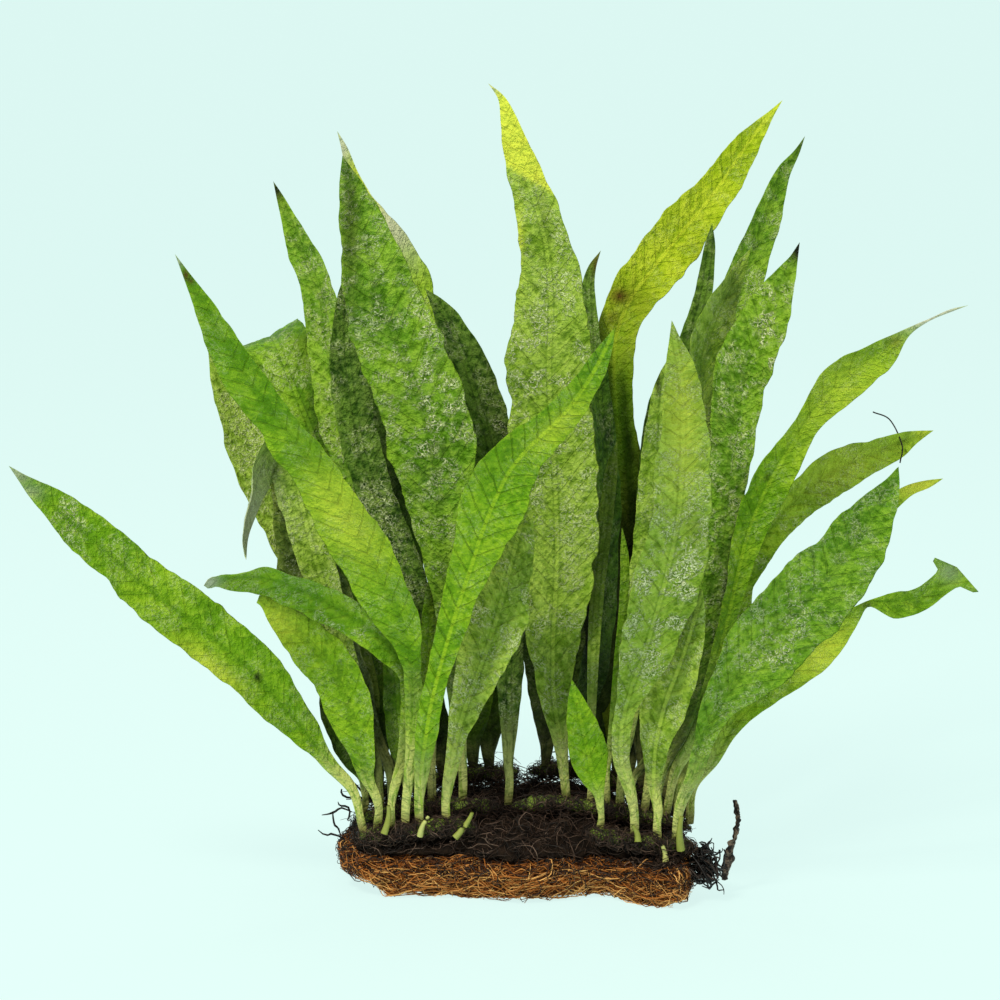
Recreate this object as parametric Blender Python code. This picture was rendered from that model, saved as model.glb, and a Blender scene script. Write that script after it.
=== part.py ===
# Java fern: a clump of lance-shaped leaves on creeping rhizomes, rooted over a loose mat of coconut fibre.
# The frame is in metres with +Z up. The origin is on the surface that the mat rests on, below its middle.
# The front of the clump faces -Y.

import math

import bmesh
import bpy
import numpy as np
from mathutils import Vector, noise

MM = 0.001
SHARP_ANGLE = math.radians(50)
CURVE_STEPS = 16

# The mat, in millimetres
MAT_THICK = 14.5
MAT_EDGE_ROUND = 4.5      # how far the flat top stops short of the mat's outline
MAT_FLAT_INSET = 6.0      # how far the flat underside stops short of it
LEFT_END_LIFT = 5.0       # the left end curls up off the surface
LEFT_END_REACH = 18.0
LEFT_END_START = -44.0
NOTCH_LIFT = 1.8          # the underside also rises between the two lobes of the front edge
NOTCH_PLACE = 28.0
NOTCH_WIDTH = 8.0
MAT_SIDES = 64
MAT_LUMP_SIZE = 7.0
INSET_LIMIT = 0.93        # a ring stops this share of the way to the spine
SPINE_LEFT = np.array([-34.0, 0.0])
SPINE_RIGHT = np.array([32.0, -6.0])
MAT_OUTLINE = [           # seen from above, anticlockwise from the left end
    (-63, -10), (-60, -23), (-50, -29), (-38, -31), (-24, -31), (-10, -35), (2, -38), (14, -36), (24, -31),
    (34, -32), (44, -40), (54, -46), (61, -43), (64, -32), (64, -10), (63, 12), (60, 27), (48, 32), (30, 31),
    (10, 34), (-12, 33), (-34, 34), (-52, 31), (-61, 24), (-64, 8),
]

# The felt of fine roots over it
ROOT_GAP = 0.3            # between pieces that touch
ROOT_EDGE_HEIGHT = 16.0
ROOT_MOUND = 9.0          # how much higher the felt is in the middle
ROOT_HILL = 3.5           # and at its hill, right of the middle
ROOT_HILL_PLACE = (22.0, 4.0)
ROOT_HILL_WIDTH = 12.0
ROOT_BACK_RISE = 8.0      # and behind the middle row
ROOT_BACK_START = -6.0
ROOT_BACK_REACH = 14.0
ROOT_LUMP = 1.3
ROOT_LUMP_SIZE = 6.0
FELT_HALF_LENGTH = 66.0
FELT_HALF_DEPTH = 33.0

# The rhizomes: three rows of creeping stems, front to back, each in a left and a right piece
RHIZOME_RADIUS = 2.7
RHIZOME_KNUCKLE = 0.35    # how much the stem swells and narrows
RHIZOME_SIDES = 8
RHIZOME_STEPS = 13
RHIZOME_ENDS = (0.45, 0.85, 1.0)  # its thickness at an end and one and two rings on
ROWS = {                  # depth at the middle of the row, its slant, and the ends of its two pieces
    "front": (-27.5, -0.085, (-56, -14), (27, 64.5)),
    "middle": (-9.0, -0.05, (-57, -5), (-1, 64)),
    "back": (11.0, -0.03, (-55, 2), (6, 64)),
}

# The view from the front, from which the leaves are laid out: a point of the view is given as columns
# from its left edge and rows from its top edge, and a leaf's depth is free along the line of sight
VIEW_DISTANCE = 1400.0
VIEW_ELEVATION = math.radians(10)
VIEW_AIM = np.array([-5.04, 0.0, 140.0])
VIEW_UNIT = 0.36          # millimetres to one column or row, at the aim
VIEW_MIDDLE = 500.0

SIGHT = np.array([0.0, math.cos(VIEW_ELEVATION), -math.sin(VIEW_ELEVATION)])
VIEW_UP = np.array([0.0, math.sin(VIEW_ELEVATION), math.cos(VIEW_ELEVATION)])
EYE = VIEW_AIM - SIGHT * VIEW_DISTANCE

# The leaves
BLADE_THICK = 0.8
STALK_THICK = 0.62        # share of a stalk's width
TIP_THICK = 0.5
STALK_WIDTH = 3.0         # a leaf narrower than this is all stalk
BLADE_START = 6.0         # and it is all blade where it is this much wider
FOOT_WIDTH = 3.2
FOOT_GAP = 0.5            # between a stalk's foot and the rhizome
FOOT_RISE = 9.0           # the stalk leaves the rhizome upright for about this far
FRONT_ROW_LEAN = -9.0     # leaves that lean towards the front more than this grow from the front row
BACK_ROW_LEAN = 7.0
STATIONS = 90             # along each leaf while the leaves are laid beside each other
ACROSS = (-1.0, -0.5, 0.0, 0.5, 1.0)
CELL = 3.0
LEAF_GAP = 2.6            # clear depth between leaves that overlap in the view
LONGEST_PUSH = 40.0
SETTLING_ROUNDS = 45
SETTLING_REACH = 20       # stations on each side that a push is spread over
SETTLING_SPREAD = 9.0
SETTLING_SHARE = 0.8      # share of a push that one round applies
FREE_START = 6.0          # a stalk is held below this distance from its foot, and free this much further on
FREE_REACH = 42.0
FEWEST_RINGS = 11
RING_SPACING = 30.0       # and one more ring for each of these millimetres of length
POINTED = 1.2             # a tip narrower than this ends in a point
RIPPLE_LENGTH = 34.0
RIPPLE_HEIGHT = 0.055     # share of the blade's width

TINTS = {                 # base colour and roughness
    "bright": ((0.17, 0.33, 0.03), 0.42),
    "fresh": ((0.12, 0.26, 0.03), 0.42),
    "mid": ((0.08, 0.18, 0.03), 0.40),
    "dark": ((0.035, 0.09, 0.02), 0.38),
    "olive": ((0.07, 0.09, 0.025), 0.45),
    "silver": ((0.17, 0.25, 0.11), 0.35),
    "yellow": ((0.42, 0.50, 0.04), 0.45),
    "wilted": ((0.03, 0.022, 0.014), 0.85),
}

# Each leaf: its name, tint, lean (degrees, negative towards the front), turn of the blade about its
# midrib at the foot and at the tip (degrees), cup (positive lifts the margins towards the front), the
# column where its foot stands, and its midrib from the tip down as (column, row, width in mm), with
# extra depth in mm where it bends
LEAVES = [
    ("leaf_far_left", "fresh", -11, (14, 34), 0.18, 362, [
        (10, 467, 0), (50, 503, 9.5), (100, 546, 14.5), (150, 590, 17.5), (200, 628, 19), (250, 670, 18),
        (290, 715, 13.5), (320, 750, 7), (335, 772, 3), (350, 800, 2.4)]),
    ("leaf_left_long", "bright", -20, (-20, -12), 0.22, 406, [
        (176, 256, 0), (191, 283, 3.6), (207, 310, 7.5), (226, 345, 12.5), (256, 392, 15), (287, 431, 16),
        (315, 470, 17.5), (345, 515, 21), (370, 560, 21.5), (392, 602, 19), (408, 645, 10), (414, 700, 4),
        (412, 760, 3)]),
    ("leaf_left_silver", "silver", 12, (25, 40), 0.15, 366, [
        (208, 345, 0), (222, 385, 8), (240, 430, 13), (262, 480, 16), (290, 530, 18), (320, 590, 16),
        (345, 650, 11), (362, 720, 4), (368, 770, 3)]),
    ("leaf_bent_over", "silver", -1, (15, 0), 0.2, 380, [
        (246, 558, 0, -11), (245, 530, 8, -11), (252, 500, 14, -10), (259, 470, 19, -7), (276, 450, 19, -2),
        (293, 468, 17), (305, 520, 15), (322, 580, 12), (342, 640, 8), (362, 720, 3.5), (375, 775, 3)]),
    ("leaf_left_olive", "olive", 4, (-38, -20), 0.2, 392, [
        (266, 425, 0), (280, 460, 7), (298, 520, 16), (315, 580, 22), (340, 650, 18), (368, 720, 8),
        (384, 780, 3)]),
    ("leaf_left_broad", "mid", 16, (-12, 0), 0.12, 380, [
        (262, 350, 6, 34), (268, 339, 17, 24), (273, 334, 25, 12), (277, 342, 27, 3), (286, 368, 26),
        (303, 410, 24), (327, 470, 20), (350, 540, 14), (366, 620, 8), (376, 720, 3.5), (380, 770, 3)]),
    ("leaf_left_arching", "mid", -17, (30, -12), 0.25, 392, [
        (205, 585, 2), (220, 579, 7), (235, 578, 9), (265, 578, 13), (300, 590, 15), (340, 610, 14),
        (375, 635, 12), (403, 664, 8), (410, 700, 4), (402, 765, 3)]),
    ("leaf_left_low_yellow", "fresh", -13, (-30, 15), 0.15, 377, [
        (260, 596, 2), (278, 614, 9), (300, 634, 14.5), (331, 668, 18), (349, 708, 16.5), (361, 750, 10),
        (369, 785, 4)]),
    ("leaf_left_low_dark", "dark", -5, (20, 38), 0.15, 364, [
        (320, 688, 0), (329, 703, 8), (338, 718, 12), (353, 747, 13), (364, 778, 7.5), (366, 800, 3.5)]),
    ("leaf_low_left_green", "mid", -7, (30, 20), 0.15, 405, [
        (386, 622, 0), (394, 650, 8), (398, 700, 11.5), (402, 750, 8), (404, 785, 3.5)]),
    ("leaf_tall_dark_tip", "mid", 14, (18, -32), 0.2, 414, [
        (274, 183, 0), (282, 202, 3.5), (290, 222, 6), (299, 243, 9), (308, 262, 11), (317, 285, 12.5),
        (322, 300, 13), (328, 338, 15), (334, 380, 16), (345, 430, 17), (362, 480, 17), (384, 540, 15),
        (402, 610, 11), (412, 690, 5), (414, 760, 3)]),
    ("leaf_biggest_left", "silver", -9, (-18, 14), 0.14, 462, [
        (343, 158, 0), (349, 180, 7), (356, 205, 12.5), (369, 250, 19), (381, 300, 26), (401, 350, 30),
        (420, 400, 30), (433, 450, 31), (439, 500, 23), (443, 550, 16), (448, 600, 10.5), (454, 660, 6),
        (460, 740, 3.5)]),
    ("leaf_yellow_margin", "yellow", 9, (20, 30), 0.15, 474, [
        (338, 133, 0), (345, 150, 2.5), (350, 168, 4), (360, 195, 7), (376, 225, 11.5), (399, 272, 18.5),
        (412, 320, 17), (430, 380, 18), (446, 450, 17), (460, 530, 16), (469, 610, 14), (474, 690, 10),
        (475, 765, 4)]),
    ("leaf_dark_middle", "dark", 3, (30, -25), 0.15, 508, [
        (426, 290, 0), (444, 313, 8), (457, 340, 13.5), (473, 385, 18), (486, 430, 19), (496, 480, 18),
        (504, 560, 16), (508, 640, 12), (509, 730, 6)]),
    ("leaf_tallest", "silver", -4, (20, -14), 0.16, 566, [
        (490, 85, 0.6), (499, 94, 1.6), (506, 110, 5), (513, 135, 7.5), (522, 165, 11), (531, 190, 13.5),
        (545, 240, 18), (551, 300, 24.5), (549, 350, 30), (550, 400, 29), (553, 450, 30), (556, 500, 30),
        (557, 560, 27), (554, 620, 22), (553, 670, 14), (556, 720, 8), (561, 765, 4)]),
    ("leaf_front_crossing", "bright", -24, (-12, -20), 0.22, 420, [
        (614, 330, 0), (607, 345, 4), (600, 360, 6.5), (590, 378, 8), (575, 400, 10), (558, 420, 11.5),
        (540, 438, 13), (524, 452, 16), (511, 469, 19), (495, 500, 21), (483, 530, 18), (475, 555, 15),
        (460, 600, 11.5), (445, 650, 9), (432, 700, 6), (424, 750, 4)]),
    ("leaf_edge_right_of_tallest", "silver", 5, (50, 55), 0.1, 590, [
        (617, 442, 0), (612, 465, 4), (609, 490, 5), (604, 530, 5.5), (599, 570, 5.5), (594, 640, 4.5),
        (591, 730, 3)]),
    ("leaf_narrow_dark", "dark", 10, (42, 30), 0.15, 574, [
        (598, 335, 0), (600, 360, 5), (600, 400, 8), (604, 440, 9), (606, 500, 10), (603, 570, 11),
        (594, 660, 11), (583, 745, 5)]),
    ("leaf_tall_yellow_right", "yellow", 19, (-26, 20), 0.2, 616, [
        (781, 102, 0), (766, 120, 4), (750, 140, 9), (735, 162, 12.5), (720, 185, 14), (702, 208, 16.5),
        (685, 228, 18.5), (660, 260, 20), (636, 290, 18), (619, 325, 15), (614, 370, 14), (618, 420, 11.5),
        (625, 480, 10), (628, 540, 9), (625, 600, 7), (622, 680, 4), (622, 750, 3)]),
    ("leaf_torn_tip", "dark", 17, (20, -25), 0.1, 560, [
        (600, 252, 0.8), (592, 268, 3), (588, 290, 5), (590, 320, 6), (591, 360, 8), (590, 420, 10),
        (586, 500, 12), (578, 600, 13), (568, 700, 9), (563, 755, 4)]),
    ("leaf_lower_middle", "silver", -14, (-18, -28), 0.16, 447, [
        (527, 490, 0), (523, 515, 8), (512, 560, 17), (502, 600, 21.5), (490, 640, 20), (474, 685, 14),
        (460, 725, 8), (451, 770, 3.5)]),
    ("leaf_short_bright", "bright", -12, (15, 5), 0.2, 600, [
        (572, 680, 0), (576, 700, 6), (582, 725, 11.5), (588, 752, 13.5), (594, 780, 8), (598, 800, 4)]),
    ("leaf_in_shade", "olive", 13, (35, 15), 0.12, 588, [
        (607, 490, 0), (608, 530, 9), (605, 600, 14), (600, 680, 13), (596, 748, 6)]),
    ("leaf_bright_edge", "bright", 1, (55, 60), 0.1, 606, [
        (622, 528, 0), (624, 548, 2.6), (625, 575, 3.4), (623, 615, 3.4), (618, 660, 3), (611, 740, 2.6)]),
    ("leaf_front_right", "fresh", -21, (22, 8), 0.18, 634, [
        (672, 322, 0), (675, 340, 4), (680, 370, 10.5), (683, 400, 13.5), (683, 430, 16), (682, 470, 18.5),
        (678, 520, 21.5), (668, 570, 24), (656, 615, 23), (642, 660, 18), (629, 695, 11), (622, 725, 6),
        (622, 765, 3.6)]),
    ("leaf_right_low_grey", "silver", -15, (-22, -38), 0.15, 658, [
        (702, 590, 0), (697, 610, 6), (690, 635, 10), (678, 670, 15), (665, 705, 15), (656, 745, 10),
        (654, 785, 4.5)]),
    ("leaf_behind_front_right", "silver", -6, (-32, 18), 0.15, 620, [
        (670, 357, 0), (666, 375, 5), (662, 400, 9), (660, 450, 13), (656, 500, 14), (651, 550, 14),
        (646, 600, 12), (638, 660, 8), (628, 740, 3.6)]),
    ("leaf_right_tall", "mid", 8, (-30, 28), 0.18, 652, [
        (804, 138, 0), (794, 157, 3), (782, 175, 6), (765, 220, 11), (750, 260, 14), (736, 300, 14.5),
        (725, 340, 15), (714, 400, 16), (708, 460, 15), (704, 520, 13), (694, 600, 9), (674, 700, 4),
        (660, 770, 3)]),
    ("leaf_right_grey_green", "silver", 2, (20, 38), 0.18, 645, [
        (750, 250, 0), (740, 268, 5), (725, 295, 11), (709, 335, 15), (701, 380, 17), (702, 440, 17),
        (706, 500, 16), (704, 560, 12), (692, 640, 7), (670, 720, 3.6)]),
    ("leaf_right_black_tip", "silver", -3, (-20, -34), 0.18, 656, [
        (799, 244, 0), (793, 260, 3.5), (783, 283, 9), (772, 307, 13), (760, 331, 16.5), (748, 358, 18),
        (739, 395, 16), (734, 440, 15), (727, 485, 13), (722, 530, 11), (715, 585, 9), (702, 650, 6),
        (684, 720, 3.6)]),
    ("leaf_narrow_back", "dark", 16, (38, 0), 0.1, 640, [
        (712, 225, 0), (710, 245, 4), (708, 262, 5), (702, 300, 7), (688, 345, 8), (670, 385, 10),
        (657, 430, 11), (650, 500, 10), (646, 600, 7), (643, 700, 3.5)]),
    ("leaf_withered_tip", "bright", -8, (20, -15), 0.25, 667, [
        (966, 306, 0.6), (950, 311, 0.9), (933, 318, 0.9), (915, 328, 1.1), (903, 335, 5), (888, 350, 10),
        (870, 360, 12.5), (850, 374, 15), (838, 386, 16), (822, 402, 12), (806, 425, 9), (788, 452, 12),
        (768, 485, 14.5), (753, 520, 13.5), (742, 555, 10), (732, 600, 7), (718, 660, 4.5), (700, 730, 3)]),
    ("leaf_right_spotted", "mid", 10, (-18, 32), 0.2, 676, [
        (932, 431, 0), (918, 436, 4), (900, 442, 9), (870, 455, 14), (840, 468, 16.5), (812, 486, 17),
        (785, 512, 15), (765, 536, 12.5), (750, 560, 12), (738, 592, 9), (726, 640, 5), (704, 720, 3)]),
    ("leaf_right_low_big", "mid", -16, (26, -14), 0.16, 677, [
        (898, 468, 0), (890, 487, 7), (875, 511, 15), (855, 542, 22), (832, 571, 27), (805, 599, 30.5),
        (782, 626, 31), (759, 651, 28), (734, 683, 20.5), (714, 713, 13), (702, 745, 7), (691, 785, 3.6)]),
    ("leaf_yellow_tip_right", "yellow", 15, (24, 38), 0.15, 688, [
        (942, 479, 0), (928, 484, 3), (912, 489, 4), (895, 500, 5.5), (868, 522, 9), (838, 550, 11),
        (800, 592, 12), (760, 645, 10), (728, 695, 6), (704, 755, 3)]),
    ("leaf_lowest_right", "fresh", -5, (-15, 20), 0.2, 690, [
        (956, 568, 11), (943, 580, 11.5), (929, 592, 9.5), (912, 601, 11.5), (893, 604, 10), (867, 604, 2.2),
        (856, 612, 5), (845, 623, 9), (818, 650, 12.5), (788, 675, 12), (756, 700, 9), (730, 728, 5),
        (710, 764, 3)]),
    ("leaf_small_bright_right", "bright", -2, (25, 10), 0.15, 678, [
        (710, 540, 0), (713, 565, 5), (714, 590, 7), (712, 620, 6), (706, 670, 4), (696, 740, 2.8)]),
    ("leaf_right_dark", "dark", 6, (-38, -10), 0.15, 633, [
        (724, 585, 0), (721, 605, 6), (716, 640, 11), (698, 685, 12), (668, 735, 6), (643, 775, 3.4)]),
    ("leaf_left_of_biggest", "mid", 0, (-28, 18), 0.16, 432, [
        (352, 258, 0), (349, 282, 5), (347, 312, 9), (347, 350, 12), (353, 400, 14), (362, 450, 14),
        (375, 490, 13), (392, 530, 12), (409, 565, 11), (421, 605, 8), (428, 670, 4), (431, 750, 3)]),
    ("leaf_dark_gap_left", "dark", 8, (30, -15), 0.12, 428, [
        (362, 330, 0), (368, 370, 8), (376, 420, 12), (386, 480, 14), (399, 540, 14), (413, 620, 13),
        (425, 710, 7)]),
    ("leaf_olive_back", "olive", 18, (-35, 15), 0.15, 398, [
        (316, 386, 0), (322, 415, 8), (335, 450, 12), (352, 500, 14), (370, 560, 14), (386, 620, 10),
        (396, 700, 4)]),
    ("leaf_low_green", "fresh", -3, (20, 30), 0.15, 418, [
        (432, 566, 0), (432, 600, 6), (430, 640, 8), (426, 690, 6), (420, 750, 3)]),
    ("leaf_rear_left", "mid", 27, (-20, -45), 0.15, 442, [
        (300, 432, 0), (320, 462, 10), (350, 520, 18), (384, 590, 18), (414, 670, 15), (434, 745, 6)]),
    ("leaf_rear_middle_left", "mid", 24, (30, 45), 0.15, 490, [
        (446, 340, 0), (450, 370, 9), (458, 430, 16), (470, 510, 20), (480, 590, 20), (487, 680, 15),
        (490, 755, 7)]),
    ("leaf_rear_middle", "dark", 33, (-25, -40), 0.15, 545, [
        (536, 300, 0), (540, 335, 10), (546, 400, 18), (548, 480, 20), (549, 570, 20), (548, 670, 16),
        (546, 750, 8)]),
    ("leaf_rear_middle_right", "mid", 28, (25, 42), 0.15, 602, [
        (606, 412, 0), (608, 440, 8), (610, 500, 16), (611, 570, 18), (610, 660, 16), (610, 745, 7)]),
    ("leaf_rear_right", "dark", 34, (-22, -42), 0.15, 628, [
        (692, 372, 0), (690, 400, 10), (684, 460, 17), (674, 540, 18), (656, 640, 15), (638, 740, 6)]),
    ("leaf_rear_far_right", "mid", 25, (20, 45), 0.15, 664, [
        (742, 470, 0), (734, 500, 8), (720, 560, 16), (704, 620, 15), (688, 690, 7), (672, 760, 3)]),
]

# The withered frond, from its top down as (column, row, width in mm), and its depth
WITHERED_FROND = [
    (736, 800, 1.0), (739, 815, 3.0), (738, 830, 4.2), (732, 848, 4.0), (728, 866, 3.0), (725, 880, 2.0),
]
WITHERED_DEPTH = -24.0
WITHERED_STEPS = 9
WITHERED_SIDES = 5
WITHERED_FOLD = 0.6       # its folds reach in to this share of its half width
WITHERED_TWIST = 0.2      # radians from one ring to the next

# The loose roots past the mat's right end, as (along, depth, height) from its top down, and their thickness
TANGLE_RUN = [(66, -20, 19), (70, -24, 16.5), (71.5, -30, 12.5), (69, -35, 8.5), (72, -38, 4.8)]
TANGLE_RADII = (2.2, 4.0, 5.0, 4.2, 2.4)
TANGLE_SIDES = 9
TANGLE_STEPS = 10
TANGLE_LUMP = 0.35        # share of its radius


def material(name, tint):
    colour, roughness = TINTS[tint] if tint in TINTS else tint
    made = bpy.data.materials.new(name)
    made.use_nodes = True
    shader = made.node_tree.nodes["Principled BSDF"]
    shader.inputs["Base Color"].default_value = (*colour, 1)
    shader.inputs["Roughness"].default_value = roughness
    shader.inputs["Metallic"].default_value = 0
    return made


def add_object(name, points, faces, tint):
    """A named object from points in millimetres and closed faces."""
    mesh = bpy.data.meshes.new(name)
    places = [tuple(float(c) * MM for c in point) for point in points]
    mesh.from_pydata(places, [], [list(map(int, face)) for face in faces])
    shape = bmesh.new()
    shape.from_mesh(mesh)
    bmesh.ops.recalc_face_normals(shape, faces=shape.faces)
    shape.to_mesh(mesh)
    shape.free()
    mesh.shade_smooth()
    mesh.set_sharp_from_angle(angle=SHARP_ANGLE)
    mesh.materials.append(material(name, tint))
    bpy.context.scene.collection.objects.link(bpy.data.objects.new(name, mesh))


def smooth_step(share):
    share = np.clip(share, 0.0, 1.0)
    return share * share * (3 - 2 * share)


def smooth_curve(points, count, closed=False):
    """Points evenly spaced along a smooth curve through the given points, which may have more values than a
    place: a closed curve and one of three values are measured in all of them, any other in its first two."""
    points = np.asarray(points, float)
    if closed:
        points = np.vstack([points[-1:], points, points[:2]])
    else:
        points = np.vstack([2 * points[:1] - points[1:2], points, 2 * points[-1:] - points[-2:-1]])
    fine = []
    for before, a, b, after in zip(points, points[1:], points[2:], points[3:]):
        for t in np.linspace(0, 1, CURVE_STEPS, endpoint=False):
            fine.append(0.5 * (2 * a + (b - before) * t + (2 * before - 5 * a + 4 * b - after) * t ** 2
                               + (3 * a - before - 3 * b + after) * t ** 3))
    fine.append(points[-2])
    fine = np.array(fine)
    places = min(points.shape[1], 3) if closed or points.shape[1] == 3 else 2
    run = np.concatenate([[0], np.cumsum(np.linalg.norm(np.diff(fine[:, :places], axis=0), axis=1))])
    wanted = np.linspace(0, run[-1], count + 1)[:-1] if closed else np.linspace(0, run[-1], count)
    return np.stack([np.interp(wanted, run, column) for column in fine.T], axis=1)


def ring_faces(first, second, count):
    return [(first + i, first + (i + 1) % count, second + (i + 1) % count, second + i) for i in range(count)]


# The mat and the felt of roots are rings of points round one outline, each moved in towards the mat's spine
def inset(outline, distance):
    along = SPINE_RIGHT - SPINE_LEFT
    share = np.clip((outline - SPINE_LEFT) @ along / (along @ along), 0, 1)
    nearest = SPINE_LEFT + share[:, None] * along
    inwards = nearest - outline
    reach = np.linalg.norm(inwards, axis=1, keepdims=True)
    distance = np.minimum(np.reshape(distance, (-1, 1)) * np.ones_like(reach), reach * INSET_LIMIT)
    return outline + inwards / reach * distance


def mat_outline():
    return smooth_curve(MAT_OUTLINE, MAT_SIDES, closed=True)


def left_end(x):
    return smooth_step((LEFT_END_START - x) / LEFT_END_REACH)


def underside_lift(x):
    return LEFT_END_LIFT * left_end(x) + NOTCH_LIFT * np.exp(-((x - NOTCH_PLACE) / NOTCH_WIDTH) ** 2)


def felt_height(x, y):
    """The height of the felt of roots at a place on it."""
    middle = -2 - 0.08 * np.maximum(x, 0)
    depth = FELT_HALF_DEPTH + 0.08 * np.abs(x)
    out = np.sqrt((x / FELT_HALF_LENGTH) ** 2 + ((y - middle) / depth) ** 2)
    mound = ROOT_MOUND * np.clip(1 - out ** 2.2, 0, 1)
    rise = ROOT_BACK_RISE * smooth_step((y - ROOT_BACK_START) / ROOT_BACK_REACH) * np.clip(1 - out ** 3, 0, 1)
    away = np.hypot(x - ROOT_HILL_PLACE[0], y - ROOT_HILL_PLACE[1])
    hill = ROOT_HILL * np.exp(-((away / ROOT_HILL_WIDTH) ** 2))
    return ROOT_EDGE_HEIGHT + mound + rise + hill


def lump(x, y, z, size):
    return noise.noise(Vector((x / size, y / size, z / size)))


def tube(name, rings, tint):
    """A closed solid through rings of points, with a flat face over each end."""
    count = len(rings[0])
    points = [point for ring in rings for point in ring]
    faces = []
    for index in range(len(rings) - 1):
        faces += ring_faces(index * count, (index + 1) * count, count)
    last = (len(rings) - 1) * count
    faces.append(list(range(count))[::-1])
    faces.append([last + i for i in range(count)])
    add_object(name, points, faces, tint)


def at_heights(ring, heights):
    return [(x, y, z) for (x, y), z in zip(ring, np.ones(len(ring)) * heights)]


def make_mat():
    outline = mat_outline()
    lift = underside_lift(outline[:, 0])
    flat = inset(outline, MAT_FLAT_INSET + 16 * left_end(outline[:, 0]))
    uneven = np.array([lump(x, y, 0, MAT_LUMP_SIZE) for x, y in outline])
    tube("coir_mat", [
        at_heights(flat, 0.0),
        at_heights(inset(outline, 1.4 + uneven), 2.0 + lift),
        at_heights(inset(outline, 0.4 - uneven), 5.2 + lift * 0.7),
        at_heights(inset(outline, 0.2 + uneven * 1.5), 9.5 + lift * 0.3),
        at_heights(inset(outline, 1.4 - uneven), 12.8),
        at_heights(inset(outline, MAT_EDGE_ROUND), MAT_THICK),
    ], ((0.30, 0.12, 0.04), 0.95))


def make_felt():
    outline = inset(mat_outline(), 3.0)
    bottom = MAT_THICK + ROOT_GAP
    rings = [at_heights(inset(outline, 2.5), bottom), at_heights(inset(outline, 0.6), bottom + 0.9)]
    for index, distance in enumerate((2.2, 6, 11, 17, 23, 28)):
        ring = inset(outline, distance)
        edge = min(1.0, 0.55 + 0.25 * index)
        heights = []
        for x, y in ring:
            rise = (felt_height(x, y) - bottom - 0.9) * edge
            heights.append(bottom + 0.9 + rise + ROOT_LUMP * lump(x, y, 3, ROOT_LUMP_SIZE))
        rings.append(at_heights(ring, np.maximum(heights, bottom + 1.0)))
    tube("root_mass", rings, ((0.018, 0.012, 0.008), 0.95))


# The rhizomes lie on the felt, and the leaves stand on them
def row_depth(row, x):
    at_middle, slant, _, _ = ROWS[row]
    return at_middle + slant * x + 0.9 * np.sin(x / 7.0 + len(row))


def rhizome_height(row, x):
    """The height of the rhizome's middle line, clear of every lump below it."""
    y = row_depth(row, x)
    around = [felt_height(x + dx, y + dy) for dx in (-3, 0, 3) for dy in (-2.5, 0, 2.5)]
    return max(around) + ROOT_LUMP * 0.55 + ROOT_GAP + RHIZOME_RADIUS * (1 + RHIZOME_KNUCKLE * 0.5)


def rhizome_radius(x):
    return RHIZOME_RADIUS * (1 + RHIZOME_KNUCKLE * (0.5 * math.sin(x / 2.1) ** 2 - 0.25))


def make_rhizome(name, row, ends):
    rings = []
    for index, x in enumerate(np.linspace(ends[0], ends[1], RHIZOME_STEPS)):
        from_end = min(index, RHIZOME_STEPS - 1 - index, len(RHIZOME_ENDS) - 1)
        radius = rhizome_radius(x) * RHIZOME_ENDS[from_end]
        centre = np.array([x, row_depth(row, x), rhizome_height(row, x)])
        angles = 2 * math.pi * (np.arange(RHIZOME_SIDES) + 0.5) / RHIZOME_SIDES
        rings.append([centre + radius * np.array([0, math.cos(angle), math.sin(angle)]) for angle in angles])
    tube(name, rings, ((0.10, 0.12, 0.03), 0.6))


# Between the view and the object's own frame
def seen_at(columns, rows, depths):
    """The points at these depths that the view shows at these columns and rows."""
    across = (np.asarray(columns, float) - VIEW_MIDDLE) * VIEW_UNIT
    up = (VIEW_MIDDLE - np.asarray(rows, float)) * VIEW_UNIT
    on_plane = VIEW_AIM + across[..., None] * np.array([1.0, 0, 0]) + up[..., None] * VIEW_UP
    ray = on_plane - EYE
    share = (np.asarray(depths, float) - EYE[1]) / ray[..., 1]
    return EYE + ray * share[..., None]


def view_place(points):
    """The columns and rows where the view shows these points."""
    away = np.asarray(points, float) - EYE
    scale = VIEW_DISTANCE / (away @ SIGHT) / VIEW_UNIT
    return VIEW_MIDDLE + away[..., 0] * scale, VIEW_MIDDLE - (away @ VIEW_UP) * scale


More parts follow.
